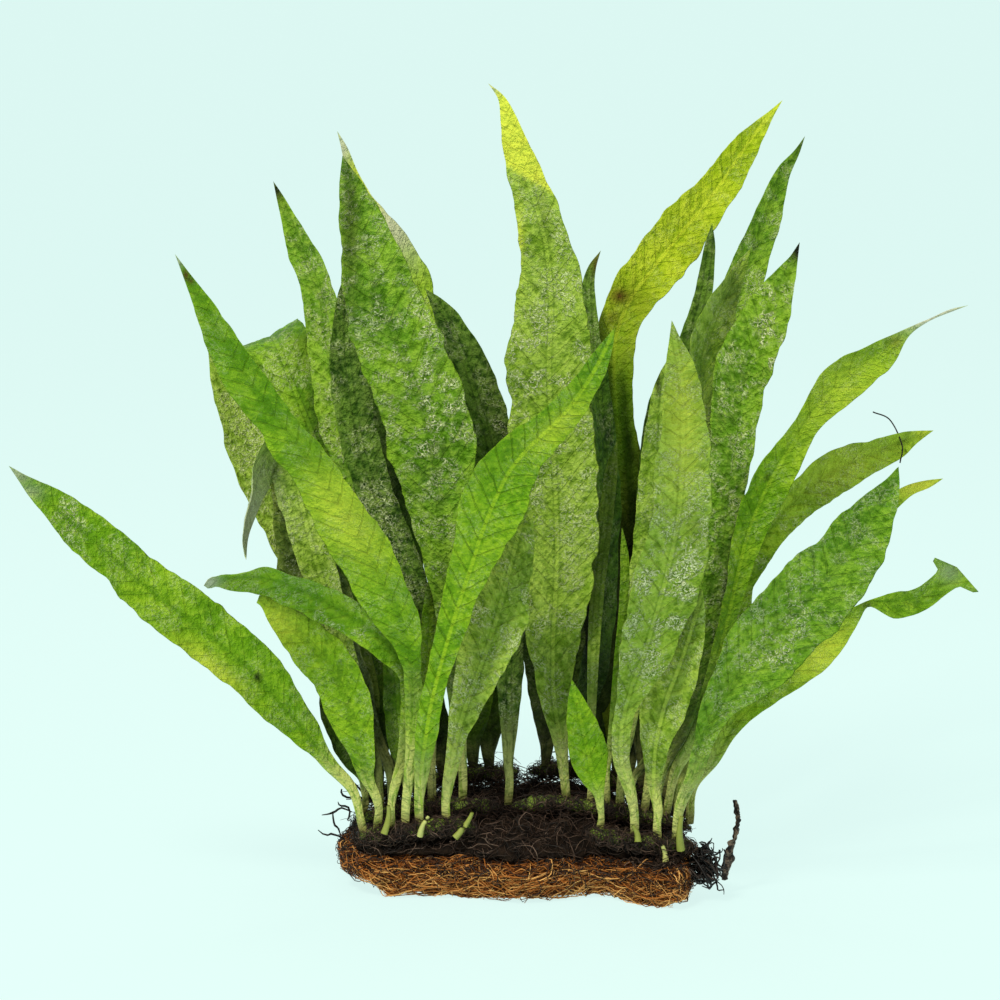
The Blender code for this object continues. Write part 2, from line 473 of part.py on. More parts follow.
class Leaf:
    def __init__(self, name, tint, lean, turn, cup, foot_column, path):
        self.name, self.tint, self.lean, self.turn, self.cup = name, tint, lean, turn, cup
        self.row = "front" if lean < FRONT_ROW_LEAN else "back" if lean > BACK_ROW_LEAN else "middle"
        foot = self.foot_place(foot_column)
        foot_column, foot_row = view_place(foot)
        _, rise_row = view_place(foot + np.array([0, 0, FOOT_RISE]))
        seen = [(*point, 0.0)[:4] for point in path][::-1]
        start = [(foot_column, foot_row, FOOT_WIDTH, 0.0), (foot_column, rise_row, FOOT_WIDTH * 0.9, 0.0)]
        seen = [point for point in seen if point[1] < rise_row - 12]
        line = smooth_curve(start + seen, STATIONS)
        self.columns, self.rows = line[:, 0], line[:, 1]
        self.widths = np.maximum(line[:, 2], 0.0)
        steps = np.hypot(np.diff(self.columns), np.diff(self.rows)) * VIEW_UNIT
        run = np.concatenate([[0], np.cumsum(steps)])
        self.run = run
        out = math.tan(math.radians(lean)) * run * (0.5 + 0.5 * run / run[-1])
        self.depths = foot[1] + out + line[:, 3]
        self.free = smooth_step((run - FREE_START) / FREE_REACH)

    def foot_place(self, column):
        """The point on top of the row's rhizome that the view shows in this column."""
        x = (column - VIEW_MIDDLE) * VIEW_UNIT + VIEW_AIM[0]
        for _ in range(4):
            top = max(rhizome_height(self.row, x + dx) for dx in (-FOOT_WIDTH, 0, FOOT_WIDTH))
            thickest = RHIZOME_RADIUS * (1 + RHIZOME_KNUCKLE * 0.25)
            point = np.array([x, row_depth(self.row, x), top + thickest + FOOT_GAP])
            x += (column - view_place(point)[0]) * VIEW_UNIT
        return point

    def frame(self):
        """Middle points, directions across the blade and out of its face, and half widths."""
        middle = seen_at(self.columns, self.rows, self.depths)
        along = np.gradient(middle, axis=0)
        along /= np.linalg.norm(along, axis=1, keepdims=True)
        across = np.empty_like(middle)
        side = np.cross(along[0], SIGHT)
        for index, direction in enumerate(along):
            side = side - direction * (side @ direction)
            side /= np.linalg.norm(side)
            across[index] = side
        out = np.cross(along, across)
        share = self.run / self.run[-1]
        angle = np.radians(self.turn[0] + (self.turn[1] - self.turn[0]) * share)
        blade = smooth_step((self.widths - STALK_WIDTH) / BLADE_START)
        angle = angle * blade
        half = self.widths / 2 / np.cos(angle)
        cos, sin = np.cos(angle)[:, None], np.sin(angle)[:, None]
        across, out = across * cos + out * sin, out * cos - across * sin
        return middle, across, out, half, blade

    def edge(self, middle, across, out, half, blade, place):
        """Points of the blade at this place across it, from -1 at its right margin to 1 at its left."""
        wave = np.sin(self.run * 2 * math.pi / RIPPLE_LENGTH + place + self.lean) * 2 * RIPPLE_HEIGHT
        lift = (self.cup + wave) * abs(place) * half * blade
        return middle + across * (half * place)[:, None] + out * lift[:, None]


def settle(leaves):
    """Lays the leaves beside each other: where two overlap in the view, the one that leans further to the
    front is moved to the front and the other to the back, along the line of sight."""
    order = sorted(leaves, key=lambda leaf: leaf.lean)
    width = int(1000 * VIEW_UNIT / CELL) + 2
    cells = width * width
    window = np.exp(-0.5 * (np.arange(-SETTLING_REACH, SETTLING_REACH + 1) / SETTLING_SPREAD) ** 2)
    window /= window.sum()
    for _ in range(SETTLING_ROUNDS):
        near = np.full((len(order), cells), np.inf)
        far = np.full((len(order), cells), -np.inf)
        places = []
        for index, leaf in enumerate(order):
            frame = leaf.frame()
            sheet = np.stack([leaf.edge(*frame, place) for place in ACROSS])
            columns, rows = view_place(sheet)
            across, down = columns * VIEW_UNIT / CELL, rows * VIEW_UNIT / CELL
            corners = []
            for dx in (0, 1):
                for dy in (0, 1):
                    cell = np.clip((across + dx).astype(int) + (down + dy).astype(int) * width, 0, cells - 1)
                    np.minimum.at(near[index], cell, sheet[..., 1])
                    np.maximum.at(far[index], cell, sheet[..., 1])
                    corners.append(cell)
            places.append(np.concatenate(corners))
        forwards = np.zeros((len(order), cells))
        backwards = np.zeros((len(order), cells))
        for index in range(len(order) - 1):
            lack = np.clip(far[index] + LEAF_GAP - near[index + 1:], 0, LONGEST_PUSH)
            lack[~np.isfinite(lack)] = 0
            forwards[index] = np.maximum(forwards[index], lack.max(axis=0) / 2)
            backwards[index + 1:] = np.maximum(backwards[index + 1:], lack / 2)
        for index, leaf in enumerate(order):
            push = (backwards[index] - forwards[index])[places[index]]
            strongest = np.where(push.max(axis=0) > -push.min(axis=0), push.max(axis=0), push.min(axis=0))
            padded = np.pad(strongest, SETTLING_REACH, mode="edge")
            spread = np.convolve(padded, window, mode="valid")
            leaf.depths = leaf.depths + spread * leaf.free * SETTLING_SHARE


def blade_faces(first, second):
    """Triangles between two rings of a leaf. Each quarter is cut from the margin's lower corner to the midrib's
    upper corner, so the front and back of the blade bend alike and stay apart."""
    faces = []
    for i in range(4):
        a, b, c, d = first + i, first + (i + 1) % 4, second + (i + 1) % 4, second + i
        faces += [(a, b, d), (b, c, d)] if i % 2 else [(a, b, c), (a, c, d)]
    return faces


def make_leaf(leaf):
    frame = leaf.frame()
    middle, across, out, half, blade = frame
    left = leaf.edge(*frame, 1.0)
    right = leaf.edge(*frame, -1.0)
    stalk = (1 - blade) * (1 - smooth_step(2 * leaf.run / leaf.run[-1]))
    thick = np.maximum(BLADE_THICK, half * 2 * STALK_THICK * stalk)
    thick = np.minimum(thick, np.maximum(half * 1.3, TIP_THICK)) / 2
    rings = FEWEST_RINGS + int(leaf.run[-1] / RING_SPACING)
    wanted = leaf.run[-1] * (1 - (1 - np.linspace(0, 1, rings + 1)) ** 1.25)
    if leaf.widths[-1] < POINTED:
        wanted = wanted[:-1]
    picks = [int(np.argmin(abs(leaf.run - place))) for place in wanted]
    front = middle + out * thick[:, None]
    back = middle - out * thick[:, None]
    points = [middle[0]]
    for k in picks:
        points += [left[k], front[k], right[k], back[k]]
    points.append(middle[-1] + (middle[-1] - middle[-2]) * 0.3)
    faces = []
    for step in range(len(picks) - 1):
        faces += blade_faces(1 + step * 4, 5 + step * 4)
    last = 1 + (len(picks) - 1) * 4
    faces += [(last + i, last + (i + 1) % 4, len(points) - 1) for i in range(4)]
    faces += [(0, 1 + (i + 1) % 4, 1 + i) for i in range(4)]
    add_object(leaf.name, points, faces, leaf.tint)


def make_withered_frond():
    line = smooth_curve(WITHERED_FROND[::-1], WITHERED_STEPS)
    middle = seen_at(line[:, 0], line[:, 1], np.full(WITHERED_STEPS, WITHERED_DEPTH))
    rings = []
    for index, (centre, width) in enumerate(zip(middle, line[:, 2])):
        ring = []
        for corner in range(WITHERED_SIDES):
            angle = WITHERED_TWIST * index + 2 * math.pi * corner / WITHERED_SIDES
            reach = width / 2 * (1.0 if corner % 2 == 0 else WITHERED_FOLD)
            ring.append(centre + reach * np.array([math.cos(angle), math.sin(angle), 0]))
        rings.append(ring)
    tube("withered_frond", rings, "wilted")


def make_tangle():
    line = smooth_curve(TANGLE_RUN, TANGLE_STEPS)
    share = np.linspace(0, 1, TANGLE_STEPS)
    radii = np.interp(share, np.linspace(0, 1, len(TANGLE_RADII)), TANGLE_RADII)
    rings = []
    for centre, radius in zip(line, radii):
        ring = []
        for side in range(TANGLE_SIDES):
            angle = 2 * math.pi * side / TANGLE_SIDES
            uneven = TANGLE_LUMP * lump(centre[0] + side * 3, centre[1], centre[2] * 2, 5)
            spokes = np.array([math.cos(angle), 0.8 * math.sin(angle), 0.25 * math.sin(angle * 2)])
            ring.append(centre + radius * (1 + uneven) * spokes)
        rings.append(ring)
    tube("root_tangle_right", rings, ((0.02, 0.014, 0.010), 0.9))


def main():
    for old in list(bpy.data.objects):
        bpy.data.objects.remove(old, do_unlink=True)
    make_mat()
    make_felt()
    for row, (_, _, left_ends, right_ends) in ROWS.items():
        make_rhizome(f"rhizome_{row}_left", row, left_ends)
        make_rhizome(f"rhizome_{row}_right", row, right_ends)
    leaves = [Leaf(*row) for row in LEAVES]
    settle(leaves)
    for leaf in leaves:
        make_leaf(leaf)
    make_withered_frond()
    make_tangle()


main()
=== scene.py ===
import math

import bmesh
import bpy
import numpy as np
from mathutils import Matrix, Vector, noise
from mathutils.bvhtree import BVHTree


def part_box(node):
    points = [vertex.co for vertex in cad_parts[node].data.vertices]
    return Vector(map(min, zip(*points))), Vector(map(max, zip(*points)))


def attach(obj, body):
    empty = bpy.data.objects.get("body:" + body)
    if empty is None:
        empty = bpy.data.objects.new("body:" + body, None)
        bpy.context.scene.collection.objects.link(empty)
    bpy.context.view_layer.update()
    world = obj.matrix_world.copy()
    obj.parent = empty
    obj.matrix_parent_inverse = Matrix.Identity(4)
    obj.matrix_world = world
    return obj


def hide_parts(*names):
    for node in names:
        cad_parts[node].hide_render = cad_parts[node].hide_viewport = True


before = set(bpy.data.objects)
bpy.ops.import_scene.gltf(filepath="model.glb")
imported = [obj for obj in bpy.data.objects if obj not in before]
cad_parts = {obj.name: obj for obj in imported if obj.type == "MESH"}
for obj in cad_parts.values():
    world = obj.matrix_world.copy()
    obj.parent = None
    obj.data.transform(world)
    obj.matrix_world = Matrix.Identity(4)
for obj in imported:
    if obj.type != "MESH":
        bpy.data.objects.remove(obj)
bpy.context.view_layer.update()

mm = 0.001

# A java fern on a loose mat of coconut fibre. Each leaf is rebuilt from the rings of its own solid.

# the view: columns and rows of a 1000 x 1000 picture
view = {
    "distance": 1.4,
    "elevation": math.radians(10),
    "aim": np.array([-0.00504, 0.0, 0.140]),
    "unit": 0.36 * mm,
    "middle": 500,
}
sight = np.array([0.0, math.cos(view["elevation"]), -math.sin(view["elevation"])])
viewUp = np.array([0.0, math.sin(view["elevation"]), math.cos(view["elevation"])])
eye = view["aim"] - sight * view["distance"]


def seenAt(points):  # the columns and rows where the front view shows these points
    away = points - eye
    scale = view["distance"] / (away @ sight) / view["unit"]
    return view["middle"] + away[..., 0] * scale, view["middle"] - (away @ viewUp) * scale


def seenPoint(column, row, y):  # the point at this depth that the front view shows at this column and row
    direction = sight + ((column - view["middle"]) * np.array([1, 0, 0])
                         - (row - view["middle"]) * viewUp) * view["unit"] / view["distance"]
    return eye + direction * (y - eye[1]) / direction[1]


def smoothStep(share):
    share = np.clip(share, 0.0, 1.0)
    return share * share * (3 - 2 * share)


def linear(red, green, blue):  # from 0-255 screen values
    return tuple(((c / 255 + 0.055) / 1.055) ** 2.4 if c > 10 else c / 255 / 12.92
                 for c in (red, green, blue))


def waves(values, size, seed):  # smooth noise along a line
    return np.array([noise.noise(Vector((v / size, seed * 3.7, 1.3))) for v in values])


# shader arithmetic
class Wire:
    def __init__(self, paint, socket):
        self.paint, self.socket = paint, socket

    def sum(self, operation, first, second=0.0, clamp=False):
        settings = {"operation": operation, "use_clamp": clamp}
        return self.paint.node("ShaderNodeMath", settings, {0: first, 1: second})

    def __add__(self, other):
        return self.sum("ADD", self, other)

    __radd__ = __add__

    def __sub__(self, other):
        return self.sum("SUBTRACT", self, other)

    def __rsub__(self, other):
        return self.sum("SUBTRACT", other, self)

    def __mul__(self, other):
        return self.sum("MULTIPLY", self, other)

    __rmul__ = __mul__

    def __truediv__(self, other):
        return self.sum("DIVIDE", self, other)

    def __abs__(self):
        return self.sum("ABSOLUTE", self)

    def clamped(self):
        return self.sum("ADD", self, 0.0, clamp=True)

    def fraction(self):
        return self.sum("FRACT", self)

    def ramp(self, low, high):  # 0 below low, 1 above high, smooth between
        settings = {"interpolation_type": "SMOOTHSTEP"}
        return self.paint.node("ShaderNodeMapRange", settings, {0: self, 1: low, 2: high})


class Paint:
    def __init__(self, name):
        self.material = bpy.data.materials.new(name)
        self.material.use_nodes = True
        self.tree = self.material.node_tree
        self.shader = self.tree.nodes["Principled BSDF"]

    def node(self, kind, settings=None, sockets=None, out=0):
        made = self.tree.nodes.new(kind)
        for key, value in (settings or {}).items():
            setattr(made, key, value)
        self.connect(made, sockets or {})
        return Wire(self, made.outputs[out])

    def connect(self, made, sockets):
        for key, value in sockets.items():
            if isinstance(value, Wire):
                self.tree.links.new(value.socket, made.inputs[key])
            else:
                made.inputs[key].default_value = value

    def mix(self, share, first, second):
        first = first if isinstance(first, Wire) else (*first, 1)
        second = second if isinstance(second, Wire) else (*second, 1)
        return self.node("ShaderNodeMix", {"data_type": "RGBA"}, {0: share, 6: first, 7: second}, 2)

    def parts(self, attribute):  # the three numbers of a vector kept on the mesh
        vector = self.node("ShaderNodeAttribute", {"attribute_name": attribute}, {}, 1)
        return [self.node("ShaderNodeSeparateXYZ", {}, {0: vector}, out) for out in range(3)]

    def vector(self, x, y, z):
        return self.node("ShaderNodeCombineXYZ", {}, {0: x, 1: y, 2: z})

    def noise(self, place, scale, detail=3.0, rough=0.6):
        sockets = {"Vector": place, "Scale": scale, "Detail": detail, "Roughness": rough}
        return self.node("ShaderNodeTexNoise", {}, sockets)

    def cells(self, place, scale):
        settings = {"feature": "DISTANCE_TO_EDGE"}
        return self.node("ShaderNodeTexVoronoi", settings, {"Vector": place, "Scale": scale})

    def bump(self, height, distance):
        return self.node("ShaderNodeBump", {}, {"Distance": distance, "Height": height})

    def finish(self, colour, rough, normal=None, gloss=0.3, glow=0.0):
        sockets = {"Base Color": colour, "Roughness": rough, "Specular IOR Level": gloss}
        if normal:
            sockets["Normal"] = normal
        if glow:
            sockets.update({"Emission Color": colour, "Emission Strength": glow})
        self.connect(self.shader, sockets)
        return self.material


# meshes
def linked(name, data):
    made = bpy.data.objects.new(name, data)
    bpy.context.scene.collection.objects.link(made)
    return made


def keepVector(mesh, name, values):  # three numbers at each point, for the material
    kept = mesh.attributes.new(name, "FLOAT_VECTOR", "POINT")
    kept.data.foreach_set("vector", np.asarray(values, np.float32).ravel())


def makeObject(name, points, faces, paint, attributes=None):
    mesh = bpy.data.meshes.new(name)
    mesh.from_pydata(points.tolist(), [], faces)
    for key, values in (attributes or {}).items():
        keepVector(mesh, key, values)
    mesh.shade_smooth()
    mesh.materials.append(paint)
    return linked(name, mesh)


def place(piece, node):
    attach(piece, "root")
    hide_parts(node)


def unit(vectors, least=1e-9):
    return vectors / np.maximum(np.linalg.norm(vectors, axis=-1, keepdims=True), least)


def lengthsAlong(points):
    return np.concatenate([[0], np.cumsum(np.linalg.norm(np.diff(points, axis=0), axis=1))])


def tubeFaces(rings, sides):  # a closed tube of rings of points
    faces = [(k + i, k + (i + 1) % sides, k + sides + (i + 1) % sides, k + sides + i)
             for k in range(0, (rings - 1) * sides, sides) for i in range(sides)]
    return faces + [tuple(range(sides))[::-1], tuple((rings - 1) * sides + i for i in range(sides))]


def weldedShape(node):
    shape = bmesh.new()
    shape.from_mesh(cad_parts[node].data)
    bmesh.ops.remove_doubles(shape, verts=shape.verts, dist=1e-6)
    shape.verts.ensure_lookup_table()
    return shape


def levelRings(node, axis, scale, least):  # a solid's corners in groups along an axis
    shape = weldedShape(node)
    rows = {}
    for vert in shape.verts:
        rows.setdefault(round(vert.co[axis] * scale), []).append(np.array(vert.co))
    shape.free()
    return [np.array(rows[key]) for key in sorted(rows) if len(rows[key]) >= least]


def leafRings(node):  # the corners of each ring of a leaf's solid, from its foot to its tip
    shape = weldedShape(node)
    lowest = sorted(shape.verts, key=lambda v: v.co.z)[:5]
    seen = set()
    ring = lowest[:4]
    for vert in lowest:
        others = [v for v in lowest if v is not vert]
        if (sum((v.co for v in others), Vector()) / 4 - vert.co).length < 0.3 * mm:
            seen.add(vert)
            ring = others
    rings = []
    while ring:
        seen.update(ring)
        rings.append(ring)
        ring = list({e.other_vert(v) for v in ring for e in v.link_edges} - seen)
    found = []
    for ring in rings:
        if len(ring) == 4:
            first = ring[0]
            beside = {e.other_vert(first) for e in first.link_edges}
            opposite = [v for v in ring[1:] if v not in beside][:1] or ring[2:3]
            rest = [v for v in ring[1:] if v is not opposite[0]]
            found.append([np.array(v.co) for v in (first, rest[0], opposite[0], rest[1])])
    tip = np.mean([np.array(v.co) for v in rings[-1]], axis=0)
    shape.free()
    return found, tip


def leafLines(node):  # its left margin, midrib and right margin
    rings, tip = leafRings(node)
    left, middle, right = [], [], []
    before, face = np.array([1.0, 0, 0]), np.array([0, -1.0, 0])
    for index, (a, b, c, d) in enumerate(rings):
        pairs = [(a, c, b, d), (b, d, a, c)]
        fit = [np.linalg.norm(pair[0] - pair[1]) for pair in pairs]
        if index and max(fit) <= 1.8 * min(fit):
            fit = [abs((pair[0] - pair[1]) @ before) / reach for pair, reach in zip(pairs, fit)]
        one, two, front, back = pairs[int(fit[1] > fit[0])]
        if (two - one) @ before < 0:
            one, two = two, one
        if (front - back) @ face < 0:
            front, back = back, front
        left.append(one)
        right.append(two)
        middle.append((front + back) / 2)
        before, face = unit(two - one), unit(front - back)
    for line in (left, middle, right):
        line.append(tip)
    return np.array(left), np.array(middle), np.array(right)


def throughPoints(knots, values, wanted):  # a smooth curve through values at uneven knots
    slopes = np.gradient(values, knots, axis=0)
    index = np.clip(np.searchsorted(knots, wanted, side="right") - 1, 0, len(knots) - 2)
    span = (knots[index + 1] - knots[index])[:, None]
    t = ((wanted - knots[index]) / span[:, 0])[:, None]
    return ((2 * t ** 3 - 3 * t ** 2 + 1) * values[index] + (t ** 3 - 2 * t ** 2 + t) * span * slopes[index]
            + (3 * t ** 2 - 2 * t ** 3) * values[index + 1] + (t ** 3 - t ** 2) * span * slopes[index + 1])


# fibres: many thin tubes in one mesh
def fibreMesh(name, paths, radii, shades, paint, sides=3):
    count, steps, _ = paths.shape
    tangent = unit(np.gradient(paths, axis=1))
    helper = np.where(abs(tangent[..., 2:3]) < 0.8, np.array([0, 0, 1.0]), np.array([1.0, 0, 0]))
    first = unit(np.cross(tangent, helper))
    second = np.cross(tangent, first)
    angles = 2 * math.pi * np.arange(sides) / sides
    ring = first[:, :, None] * np.cos(angles)[:, None] + second[:, :, None] * np.sin(angles)[:, None]
    points = (paths[:, :, None] + ring * radii[:, :, None, None]).reshape(-1, 3)
    start = (np.arange(count)[:, None, None] * steps + np.arange(steps - 1)[:, None]) * sides
    side = np.arange(sides)
    after = (side + 1) % sides
    corners = [start + side, start + after, start + after + sides, start + side + sides]
    quads = np.stack(corners, axis=-1).reshape(-1, 4)
    mesh = bpy.data.meshes.new(name)
    mesh.vertices.add(len(points))
    mesh.vertices.foreach_set("co", points.astype(np.float32).ravel())
    mesh.loops.add(len(quads) * 4)
    mesh.loops.foreach_set("vertex_index", quads.astype(np.int32).ravel())
    mesh.polygons.add(len(quads))
    mesh.polygons.foreach_set("loop_start", np.arange(len(quads), dtype=np.int32) * 4)
    mesh.update(calc_edges=True)
    strand = np.zeros((len(points), 3))
    strand[:, 0] = np.repeat(shades, steps * sides)
    keepVector(mesh, "strand", strand)
    mesh.shade_smooth()
    mesh.materials.append(paint)
    return linked(name, mesh)


def joined(name, pieces):  # one object from several meshes
    for piece in bpy.context.selected_objects:
        piece.select_set(False)
    for piece in pieces:
        piece.select_set(True)
    bpy.context.view_layer.objects.active = pieces[0]
    bpy.ops.object.join()
    pieces[0].name = name
    return pieces[0]


def evenShape(node, size, seed):  # a node's solid as an even fine mesh with lumps
    shape = weldedShape(node)
    mesh = bpy.data.meshes.new("core")
    shape.to_mesh(mesh)
    shape.free()
    made = linked("core", mesh)
    remesh = made.modifiers.new("even", "REMESH")
    remesh.mode = "VOXEL"
    remesh.voxel_size = size["cell"]
    soften = made.modifiers.new("soften", "SMOOTH")
    soften.iterations = 3
    bpy.context.view_layer.update()
    even = bpy.data.meshes.new_from_object(made.evaluated_get(bpy.context.evaluated_depsgraph_get()))
    bpy.data.objects.remove(made, do_unlink=True)
    points = np.array([v.co for v in even.vertices])
    normals = np.array([v.normal for v in even.vertices])
    bumps = np.array([noise.noise(Vector(p) / size["lumpWide"] + Vector((seed, 0, 0))) for p in points])
    points = points + normals * (bumps * size["lump"] - size["sunk"])[:, None]
    points[:, 2] = np.maximum(points[:, 2], 0.15 * mm)
    faces = [tuple(p.vertices) for p in even.polygons]
    bpy.data.meshes.remove(even)
    return points, faces


def walkOver(shape, starts, headings, size, rng, floor=0.25 * mm):  # paths that keep to a surface
    tree = BVHTree.FromPolygons([tuple(p) for p in shape[0]], shape[1])
    steps, bend = size["steps"], size["bend"]
    stride = rng.uniform(*size["stride"], len(starts)) * mm
    lifts = rng.uniform(*size["lift"], len(starts)) ** size["liftPower"] * mm
    paths = np.zeros((len(starts), steps, 3))
    for index, (start, heading) in enumerate(zip(starts, headings)):
        here, direction = Vector(start), Vector(heading)
        turn = rng.normal(0, bend)
        for step in range(steps):
            nearest, normal, _, _ = tree.find_nearest(here)
            point = nearest + normal * (lifts[index] * (1 + size["loose"] * math.sin(step * 0.9 + index)))
            point.z = max(point.z, floor)
            paths[index, step] = point
            direction = direction - normal * direction.dot(normal)
            if direction.length < 1e-6:
                direction = normal.orthogonal()
            direction.normalize()
            turn = turn * 0.8 + rng.normal(0, bend) * 0.6
            direction = (direction + normal.cross(direction) * turn).normalized()
            here = point + direction * stride[index]
    return paths


def sampled(points, faces, count, rng, weigh):  # random places on a surface and its normals there
    corners = np.array([f[:3] for f in faces])
    a, b, c = points[corners[:, 0]], points[corners[:, 1]], points[corners[:, 2]]
    middles = (a + c) / 2
    normals = np.cross(b - a, c - a)
    area = np.linalg.norm(normals, axis=1)
    normals /= np.maximum(area, 1e-12)[:, None]
    weight = area * weigh(middles, normals)
    picks = rng.choice(len(corners), count, p=weight / weight.sum())
    return middles[picks], normals[picks]


def creeping(shape, size, weigh, rng, floor=0.25 * mm, stretch=(1, 1, 1)):  # paths set off any way
    starts, normals = sampled(*shape, size["count"], rng, weigh)
    headings = np.cross(normals, rng.normal(0, 1, normals.shape)) * np.array(stretch)
    return walkOver(shape, starts, headings, size, rng, floor)


def looseRoots(starts, headings, lengths, steps, curl, rng, floor=0.3 * mm):  # free ends that wander
    directions = unit(headings)
    turn = rng.normal(0, curl, directions.shape)
    here = starts.copy()
    paths = [here]
    for _ in range(steps - 1):
        turn = turn * 0.7 + rng.normal(0, curl, directions.shape) * 0.6
        directions = unit(directions + turn * 0.6)
        here = here + directions * (lengths / (steps - 1))[:, None]
        here[:, 2] = np.maximum(here[:, 2], floor)
        paths.append(here)
    return np.stack(paths, axis=1)


def straying(shape, size, weigh, rng, floor=0.3 * mm):  # loose ends that stand off a surface
    starts, normals = sampled(*shape, size["count"], rng, weigh)
    headings = normals + rng.normal(0, size["spread"], normals.shape)
    lengths = rng.uniform(*size["reach"], len(starts)) * mm
    starts = starts - normals * 0.5 * mm
    return looseRoots(starts, headings, lengths, size["steps"], size["curl"], rng, floor)


def taper(radii, steps, ends=0.25):
    return radii[:, None] * np.sin(np.linspace(ends, math.pi - ends, steps))[None, :] ** 0.45


def bundle(name, paths, thick, shades, skin, rng):  # shades: the two powers of their spread
    radii = rng.uniform(*thick, len(paths))
    return fibreMesh(name, paths, taper(radii, paths.shape[1]), rng.beta(*shades, len(paths)), skin)


def corePaint(name, dark, light):
    paint = Paint(name)
    lumps = paint.noise(paint.node("ShaderNodeNewGeometry"), 260.0, 4.0, 0.7)
    colour = paint.mix(lumps.ramp(0.35, 0.7), dark, light)
    return paint.finish(colour, 0.9, paint.bump(lumps, 0.8 * mm), gloss=0.1)


rootStops = (linear(20, 14, 10), linear(64, 46, 35), linear(132, 108, 92))


def strandPaint(name, stops, rough=0.75):
    paint = Paint(name)
    shade = paint.parts("strand")[0]
    fine = paint.noise(paint.node("ShaderNodeNewGeometry"), 900.0, 2.0)
    value = (shade + (fine - 0.5) * 0.4).clamped()
    colour = paint.mix(value.ramp(0.0, 0.5), stops[0], stops[1])
    colour = paint.mix(value.ramp(0.5, 1.0), colour, stops[2])
    return paint.finish(colour, rough)


# leaves
leaf = {
    "step": 1.5 * mm, "bladeThick": 0.45 * mm, "marginThick": 0.14 * mm,
    "stalkThick": 0.72,  # share of the stalk's width
    "stalkWide": (3.4 * mm, 5 * mm),  # wider than this it begins to be blade, and over how much more
    "footReach": 3.0 * mm,  # the stalk goes on down to the rhizome
    "veinSpacing": 7.0 * mm, "veinSlope": 1.15,
    "quilt": 0.34 * mm, "rib": 0.35 * mm, "ribWide": (0.8 * mm, 0.9 * mm),  # on the front and on the back
    "wobble": ((8 * mm, 50, 0.11), (3.5 * mm, 70, 0.06)),  # of the outline: length, seed and share
    "ripple": 0.16,  # of the margins, as a share of half the width
    "sway": 0.05,
    "crumple": 2.6 * mm,  # how deep the skin's fine relief looks
    "wingStart": 1.0 * mm,  # half the width of the stalk's green wings at the foot
    "wingGrowth": (0.06, 0.2),  # how fast they widen upwards, at the front and at the back
    "wingReach": 45 * mm,
    "wingMost": 0.85,  # share of half the blade's width
}

leafGreens = {  # base, pale patches, dark patches; the pale and dark also paint light and shade on the fine relief
    "bright": ((112, 162, 12), (150, 188, 34), (86, 134, 8)),
    "fresh": ((120, 166, 14), (158, 194, 38), (82, 122, 12)),
    "mid": ((98, 150, 12), (142, 182, 40), (62, 100, 10)),
    "dark": ((60, 100, 14), (98, 136, 36), (30, 56, 8)),
    "olive": ((94, 118, 28), (136, 152, 62), (56, 76, 14)),
    # the greens of the leaves that carry the most painted sheen
    "silver": ((130, 166, 34), (172, 200, 74), (86, 120, 22)),
    "yellow": ((170, 196, 20), (200, 216, 50), (134, 166, 14)),
}


def spotShare(columns, rows, column, row, wide, tall, turn=0):  # a soft round mark in the front view
    c, s = math.cos(math.radians(turn)), math.sin(math.radians(turn))
    across, down = columns - column, rows - row
    return np.exp(-(((across * c + down * s) / wide) ** 2 + ((down * c - across * s) / tall) ** 2))


def sideShare(columns, rows, first, last, soft=3.0):  # all on one side of a line in the front view
    along = np.array([last[0] - first[0], last[1] - first[1]], float)
    along /= np.linalg.norm(along)
    side = (columns - first[0]) * along[1] - (rows - first[1]) * along[0]
    return smoothStep(side / soft * 0.5 + 0.5)
